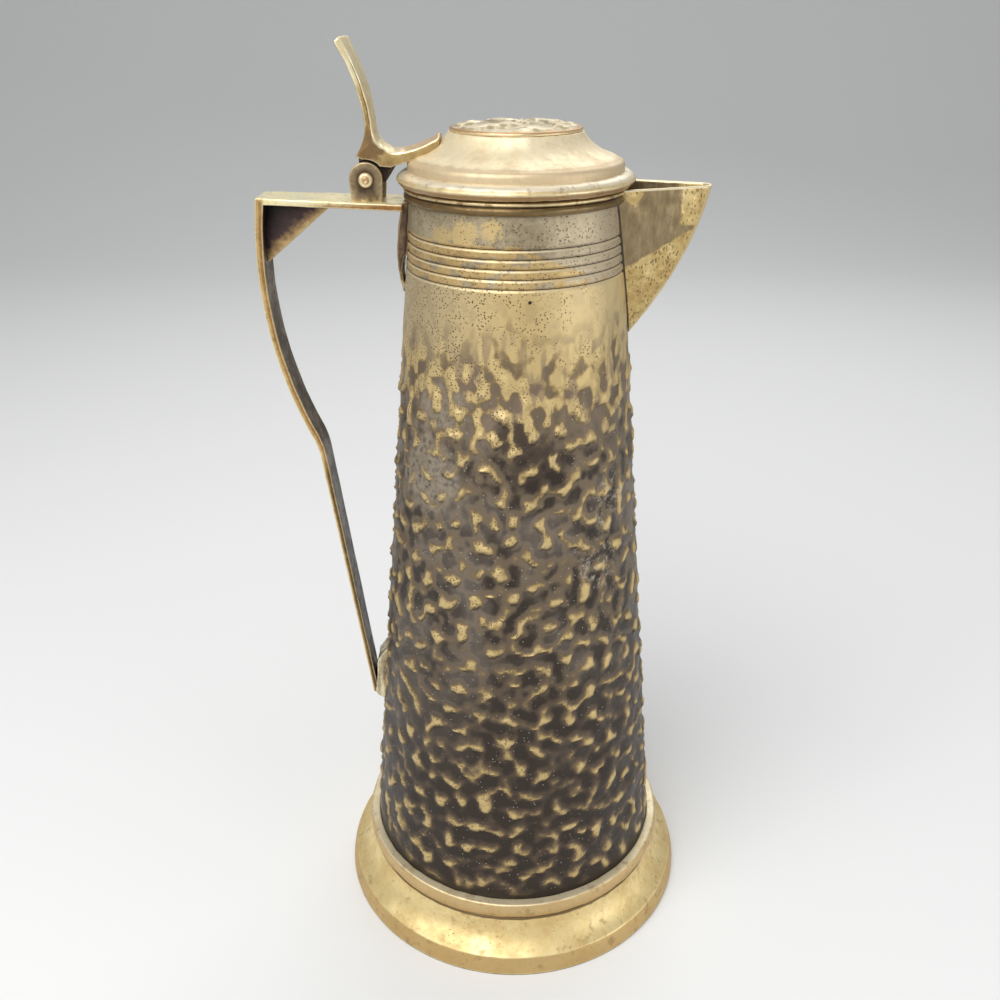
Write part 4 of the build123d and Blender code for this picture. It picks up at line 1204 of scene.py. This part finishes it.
def make_wedge(finish):
    """Wedge between leg and body: crest, shoulder, seat under the leg's end and a short toe."""
    leg_x = -body_radius(LEG_END) - LEG_STAND
    shoulder = (-body_radius(WEDGE_SHOULDER) - WEDGE_STAND, WEDGE_SHOULDER)
    front = profile((-body_radius(WEDGE_CREST) - 0.6, WEDGE_CREST), (*shoulder, 0, 14),
                    (leg_x + 1.6, 97.0, 0.15, 18), (leg_x + 1.15, 92.6, 0, 8),
                    (leg_x + 2.3, 91.3, 0, 5), (-body_radius(90) - 0.5, 90.0, 0, 5))
    back = np.column_stack([-body_radius(front[:, 1]) + 0.9, front[:, 1]])
    make_piece("wedge_block", "handle_wedge", "jug", "handle_brass", finish,
               ribbon(front, back, np.full(len(front), 5.8), corner=0.5, flat=7, dent=0.08,
                      dent_size=4, seed=65))


# Hinge


def reach_of(corners, angle):
    """Distance from the origin to a convex outline at each angle: the nearest of its edges' lines."""
    corners = np.asarray(corners, float)
    edge = np.roll(corners, -1, axis=0) - corners
    normal = np.column_stack([edge[:, 1], -edge[:, 0]]) / np.hypot(*edge.T)[:, None]
    gap = (normal * corners).sum(axis=1)
    facing = normal[:, :1] * np.cos(angle) + normal[:, 1:] * np.sin(angle)
    hit = np.where(facing > 1e-6, gap[:, None] / np.maximum(facing, 1e-6), np.inf)
    return hit.min(axis=0)


def eye(outline, round_radius, bore, low, high, corner=0.35, columns=168):
    """Plate round the pin, from its bore out to the greater of a circle and a convex outline.

    At each angle about the pin its section is a rounded rectangle between the two faces.
    """
    angle = np.linspace(-pi, pi, columns + 1)
    reach = np.maximum(round_radius, reach_of(outline, angle))
    size = len(angle)
    half = np.full(size, (high - low) / 2)
    across, down, _ = section_loop(half, reach - bore, corner, np.zeros(size), 5)
    radius, y = bore + down, (low + high) / 2 + across
    radius = np.hstack([radius, radius[:, :1]])
    y = np.hstack([y, y[:, :1]])
    points = np.stack([PIN_X + radius * np.cos(angle)[:, None], y,
                       PIN_HEIGHT + radius * np.sin(angle)[:, None]], axis=-1)
    edge = smooth(0.8, 1.0, (radius - bore) / (reach - bore)[:, None])
    return sheet(points, wear=edge, near=smooth(3.6, 2.6, radius))


def about_pin(line, side, start, columns=72):
    """An open (radius, out) line turned round the pin's axis, standing out from a face along Y."""
    angle = np.linspace(-pi, pi, columns + 1)
    radius, out = line[:, :1], line[:, 1:]
    points = np.stack([PIN_X + radius * np.cos(angle), side * (start + out) + 0 * angle,
                       PIN_HEIGHT + radius * np.sin(angle)], axis=-1)
    return sheet(points, wear=smooth(0.5, 1.0, out / max(out.max(), 0.1)) + 0 * angle)


def make_hinge(finish, collar_finish, knuckle_finish):
    """Two lugs on the arm, the lid's knuckle between them, and the pin with a collar at each end."""
    for name, side in (("front", -1), ("rear", 1)):
        low, high = sorted((side * LUG_INNER, side * LUG_OUTER))
        make_piece("lug_eye_" + name, "hinge_lug_" + name, "jug", "hinge_brass", finish,
                   eye(LUG_OUTLINE, LUG_RADIUS, PIN_RADIUS, low, high))
        make_piece("pin_collar_" + name + "_domed", "pin_collar_" + name, "jug", "hinge_brass",
                   collar_finish, about_pin(np.array(COLLAR_LINE), side, LUG_OUTER))
    make_piece("knuckle_eye", "lid_knuckle", "lid", "hinge_brass", knuckle_finish,
               eye(KNUCKLE_OUTLINE, KNUCKLE_RADIUS, PIN_RADIUS + EYE_PLAY, -KNUCKLE_HALF, KNUCKLE_HALF))
    half = np.array(PIN_LINE)
    line = np.vstack([half * (1, -1), [(PIN_RADIUS, 0)], half[::-1]])
    make_piece("pin_turned", "hinge_pin", "jug", "hinge_brass", collar_finish, about_pin(line, 1, 0))


# Lid


def make_lid(cap_finish, rim_finish, disc_finish, inner_finish):
    """Spun cap with its rolled rim, the beaten disc on top and the flange that centres it."""
    cap, rim, flange = (profile(*line) for line in (CAP_LINE, RIM_LINE, FLANGE_LINE))
    make_piece("lid_cap_spun", "lid_shell", "lid", "lid_brass", cap_finish,
               turned(eased(even(cap, 0.3), 0.22), dent=0.04, dent_size=9, seed=71))
    make_piece("lid_rim_rolled", "lid_rim", "lid", "lid_brass", rim_finish,
               turned(eased(even(rim, 0.16), 0.22), dent=0.05, dent_size=7, seed=72))
    make_piece("lid_flange_ring", "lid_flange", "lid", "lid_brass", inner_finish,
               turned(eased(even(flange, 0.25), 0.15), seed=73))
    crown = [(r, DISC_EDGE + DISC_CROWN * (1 - (r / DISC_RADIUS) ** 2)) for r in np.linspace(23.0, 0, 24)]
    top = np.array([(0, DISC_SEAT), (DISC_RADIUS, DISC_SEAT), (23.3, 330.2), *crown])
    disc = turned_solid(top, columns=240, step=0.3, reach=0.3)
    points = disc["points"]
    field = band_noise(256, 256, 0.25, 0.25, 13, 74) * 0.85 + band_noise(256, 256, 0.25, 0.25, 5, 75) * 0.3
    row, column = (points[..., i] / 0.25 + 128 for i in (0, 1))
    islands = smooth(-0.3, 1.1, sample(field, row, column))
    upper = smooth(DISC_EDGE, DISC_EDGE + 0.4, points[..., 2])
    rim_fade = smooth(23.2, 20.5, np.hypot(points[..., 0], points[..., 1]))
    points[..., 2] += (0.9 * islands - 0.5) * upper * rim_fade
    disc["marks"]["relief"] = islands * upper * rim_fade
    make_piece("lid_disc_beaten", "lid_top_disc", "lid", "lid_brass", disc_finish, disc)


def make_lever(finish):
    """Thumb plate, saddle and lid arm in one sweep between a front and a back line from the pin."""
    pin = np.array([PIN_X, PIN_HEIGHT])
    front = np.vstack([profile(*LEVER_FRONT), [LEVER_FRONT[-1][:2]]])
    turn = np.radians(np.linspace(8, -48, 14))
    sweep = LEVER_CLEAR * np.column_stack([-np.sin(turn), np.cos(turn)])
    back = np.vstack([profile(*LEVER_BACK, (*sweep[0], 0, 3)), sweep,
                      profile(sweep[-1], *LEVER_UNDER), [LEVER_UNDER[-1][:2]]])
    width = np.interp(front[:, 1], [16.6, 24, 34, 45.9], [7.0, 7.5, 8.8, 10.0])
    share = np.clip(np.arange(len(front)) - 56, 0, None) / (len(front) - 57)
    crown = 0.3 + 0.8 * smooth(0, 0.45, share)
    make_piece("thumb_lever_cast", "thumb_lever", "lid", "lid_brass", finish,
               ribbon(pin + front, pin + back, width, corner=0.6, crown=crown, flat=13, dent=0.05,
                      dent_size=5, seed=81))


# Stage


def make_camera():
    """Camera at the photograph's place, with its pitch, yaw and roll."""
    pitch = radians(CAMERA_PITCH)
    yaw = radians(CAMERA_YAW)
    roll = radians(CAMERA_ROLL)
    ahead = Vector((sin(yaw) * cos(pitch), cos(yaw) * cos(pitch), -sin(pitch)))
    right = ahead.cross(Vector((0, 0, 1))).normalized()
    up = right.cross(ahead)
    level_right = cos(roll) * right + sin(roll) * up
    level_up = -sin(roll) * right + cos(roll) * up
    turn = Matrix((level_right, level_up, -ahead)).transposed()
    data = bpy.data.cameras.new("camera")
    data.sensor_width = SENSOR_WIDTH
    data.lens = FOCAL_PIXELS / FRAME_PIXELS * SENSOR_WIDTH
    data.clip_start = 0.01
    camera = bpy.data.objects.new("camera", data)
    camera.matrix_world = Matrix.Translation(CAMERA_PLACE) @ turn.to_4x4()
    bpy.context.scene.collection.objects.link(camera)
    bpy.context.scene.camera = camera


def make_lamp(name, place, target, size, power):
    """Square soft lamp that faces its target."""
    data = bpy.data.lights.new(name, "AREA")
    data.shape = "SQUARE"
    data.size = size
    data.energy = power
    lamp = bpy.data.objects.new(name, data)
    lamp.location = place
    lamp.rotation_euler = (Vector(target) - Vector(place)).to_track_quat("-Z", "Y").to_euler()
    bpy.context.scene.collection.objects.link(lamp)


def make_stage():
    """Pale floor that sweeps up into a backdrop, pale world and soft studio lamps.

    The backdrop is a line of floor, quarter circle and wall, carried straight across.
    """
    turn = np.linspace(0, pi / 2, 24)
    depth = np.r_[-3.0, 1.2 + 1.5 * np.sin(turn), 2.7]
    height = np.r_[0.0, 1.5 * (1 - np.cos(turn)), 4.0]
    across = np.array([-4.0, 0.0, 4.0])
    points = np.stack([across[None, :] + 0 * depth[:, None], depth[:, None] + 0 * across,
                       height[:, None] + 0 * across], axis=-1)
    mesh = bpy.data.meshes.new("backdrop")
    quads = grid_quads(*points.shape[:2]).reshape(-1, 4)
    mesh.from_pydata(points.reshape(-1, 3).tolist(), [], quads.tolist())
    mesh.polygons.foreach_set("use_smooth", np.ones(len(mesh.polygons), dtype=bool))
    backdrop = bpy.data.objects.new("backdrop", mesh)
    bpy.context.scene.collection.objects.link(backdrop)
    paint = bpy.data.materials.new("backdrop_paper")
    paint.use_nodes = True
    shader = paint.node_tree.nodes["Principled BSDF"]
    shader.inputs["Base Color"].default_value = PAPER
    shader.inputs["Roughness"].default_value = 0.9
    mesh.materials.append(paint)
    world = bpy.data.worlds.new("world")
    world.use_nodes = True
    background = world.node_tree.nodes["Background"]
    background.inputs["Color"].default_value = SKY
    background.inputs["Strength"].default_value = SKY_STRENGTH
    bpy.context.scene.world = world
    for lamp in LAMPS:
        make_lamp(*lamp)


make_camera()
make_stage()

make_body("body_wall_beaten", beaten_finish(), body_rows(*WALL_ROWS), WINDOW_ROW, True)
make_body("body_neck_grooved", neck_finish(), body_rows(*NECK_ROWS), 0, False)
make_spout(spout_finish())
make_mouth_ring(spun_finish("mouth_ring_brass", ((146, 114, 68), (180, 150, 98), (206, 180, 126)),
                            ((306.0, 309.3, (84, 68, 44), 0.75), (309.3, 309.55, (44, 32, 22), 0.9),
                             (306.0, 306.7, (36, 28, 20), 0.95)), stain=0.75, ragged=0.4))
# On the foot the dark band from 20.5 to 22.6 mm, under the bead, is painted shade of the undercut.
make_foot(spun_finish("spun_foot_brass", ((208, 180, 122), (222, 198, 140), (234, 212, 156)),
                      ((29.3, 31, (236, 222, 190), 0.85), (22.7, 29.2, (190, 160, 114), 0.75),
                       (20.5, 22.6, (86, 62, 32), 0.85), (1.0, 7.9, (186, 154, 100), 0.8),
                       (-1, 0.7, (64, 46, 28), 0.85)), stain=0.35, pitted=0.75, metal=0.65,
                      rough=(0.42, 0.54), ragged=0.7))
make_bottom(spun_finish("bottom_brass", ((92, 68, 42), (128, 110, 74), (160, 146, 118))))
make_strap(strap_finish())
make_gusset(gusset_finish())
make_tongue(tongue_finish())
make_wedge(wedge_finish())
make_hinge(hinge_finish("cast_hinge_brass", ((108, 90, 64), (138, 118, 90), (166, 146, 112)),
                        (212, 190, 146), 0.8),
           hinge_finish("collar_brass", ((172, 142, 96), (200, 172, 126), (224, 202, 156)),
                        (240, 226, 190), 0.0),
           # The knuckle is painted near black as the shade between the lugs, under the lever.
           hinge_finish("knuckle_brass", ((22, 18, 15), (34, 27, 22), (54, 43, 32)), (90, 74, 50), 0.5))
# On the cap the brown band over the upright skirt and shoulder is painted shade.
make_lid(spun_finish("lid_cap_brass", ((216, 196, 158), (230, 214, 178), (242, 228, 194)),
                     ((311.0, 320.6, (190, 164, 128), 0.6),), stain=0.12, pitted=0.25, metal=0.5,
                     rough=(0.44, 0.56)),
         # On the rim the whitish upper band is a painted highlight on the slope that faces up, and the brown
         # lower band is partly stain and partly painted shade on the underside.
         spun_finish("lid_rim_brass", ((200, 172, 122), (220, 196, 146), (236, 216, 170)),
                     ((311.0, 313.5, (146, 112, 74), 0.85), (314.7, 318, (240, 230, 208), 0.75)),
                     stain=0.5, metal=0.6, rough=(0.32, 0.46), ragged=1.4),
         disc_finish(),
         spun_finish("lid_inner_brass", ((128, 110, 74), (184, 150, 96), (206, 178, 122))))
make_lever(lever_finish())
bpy.context.scene.view_settings.view_transform = "Standard"
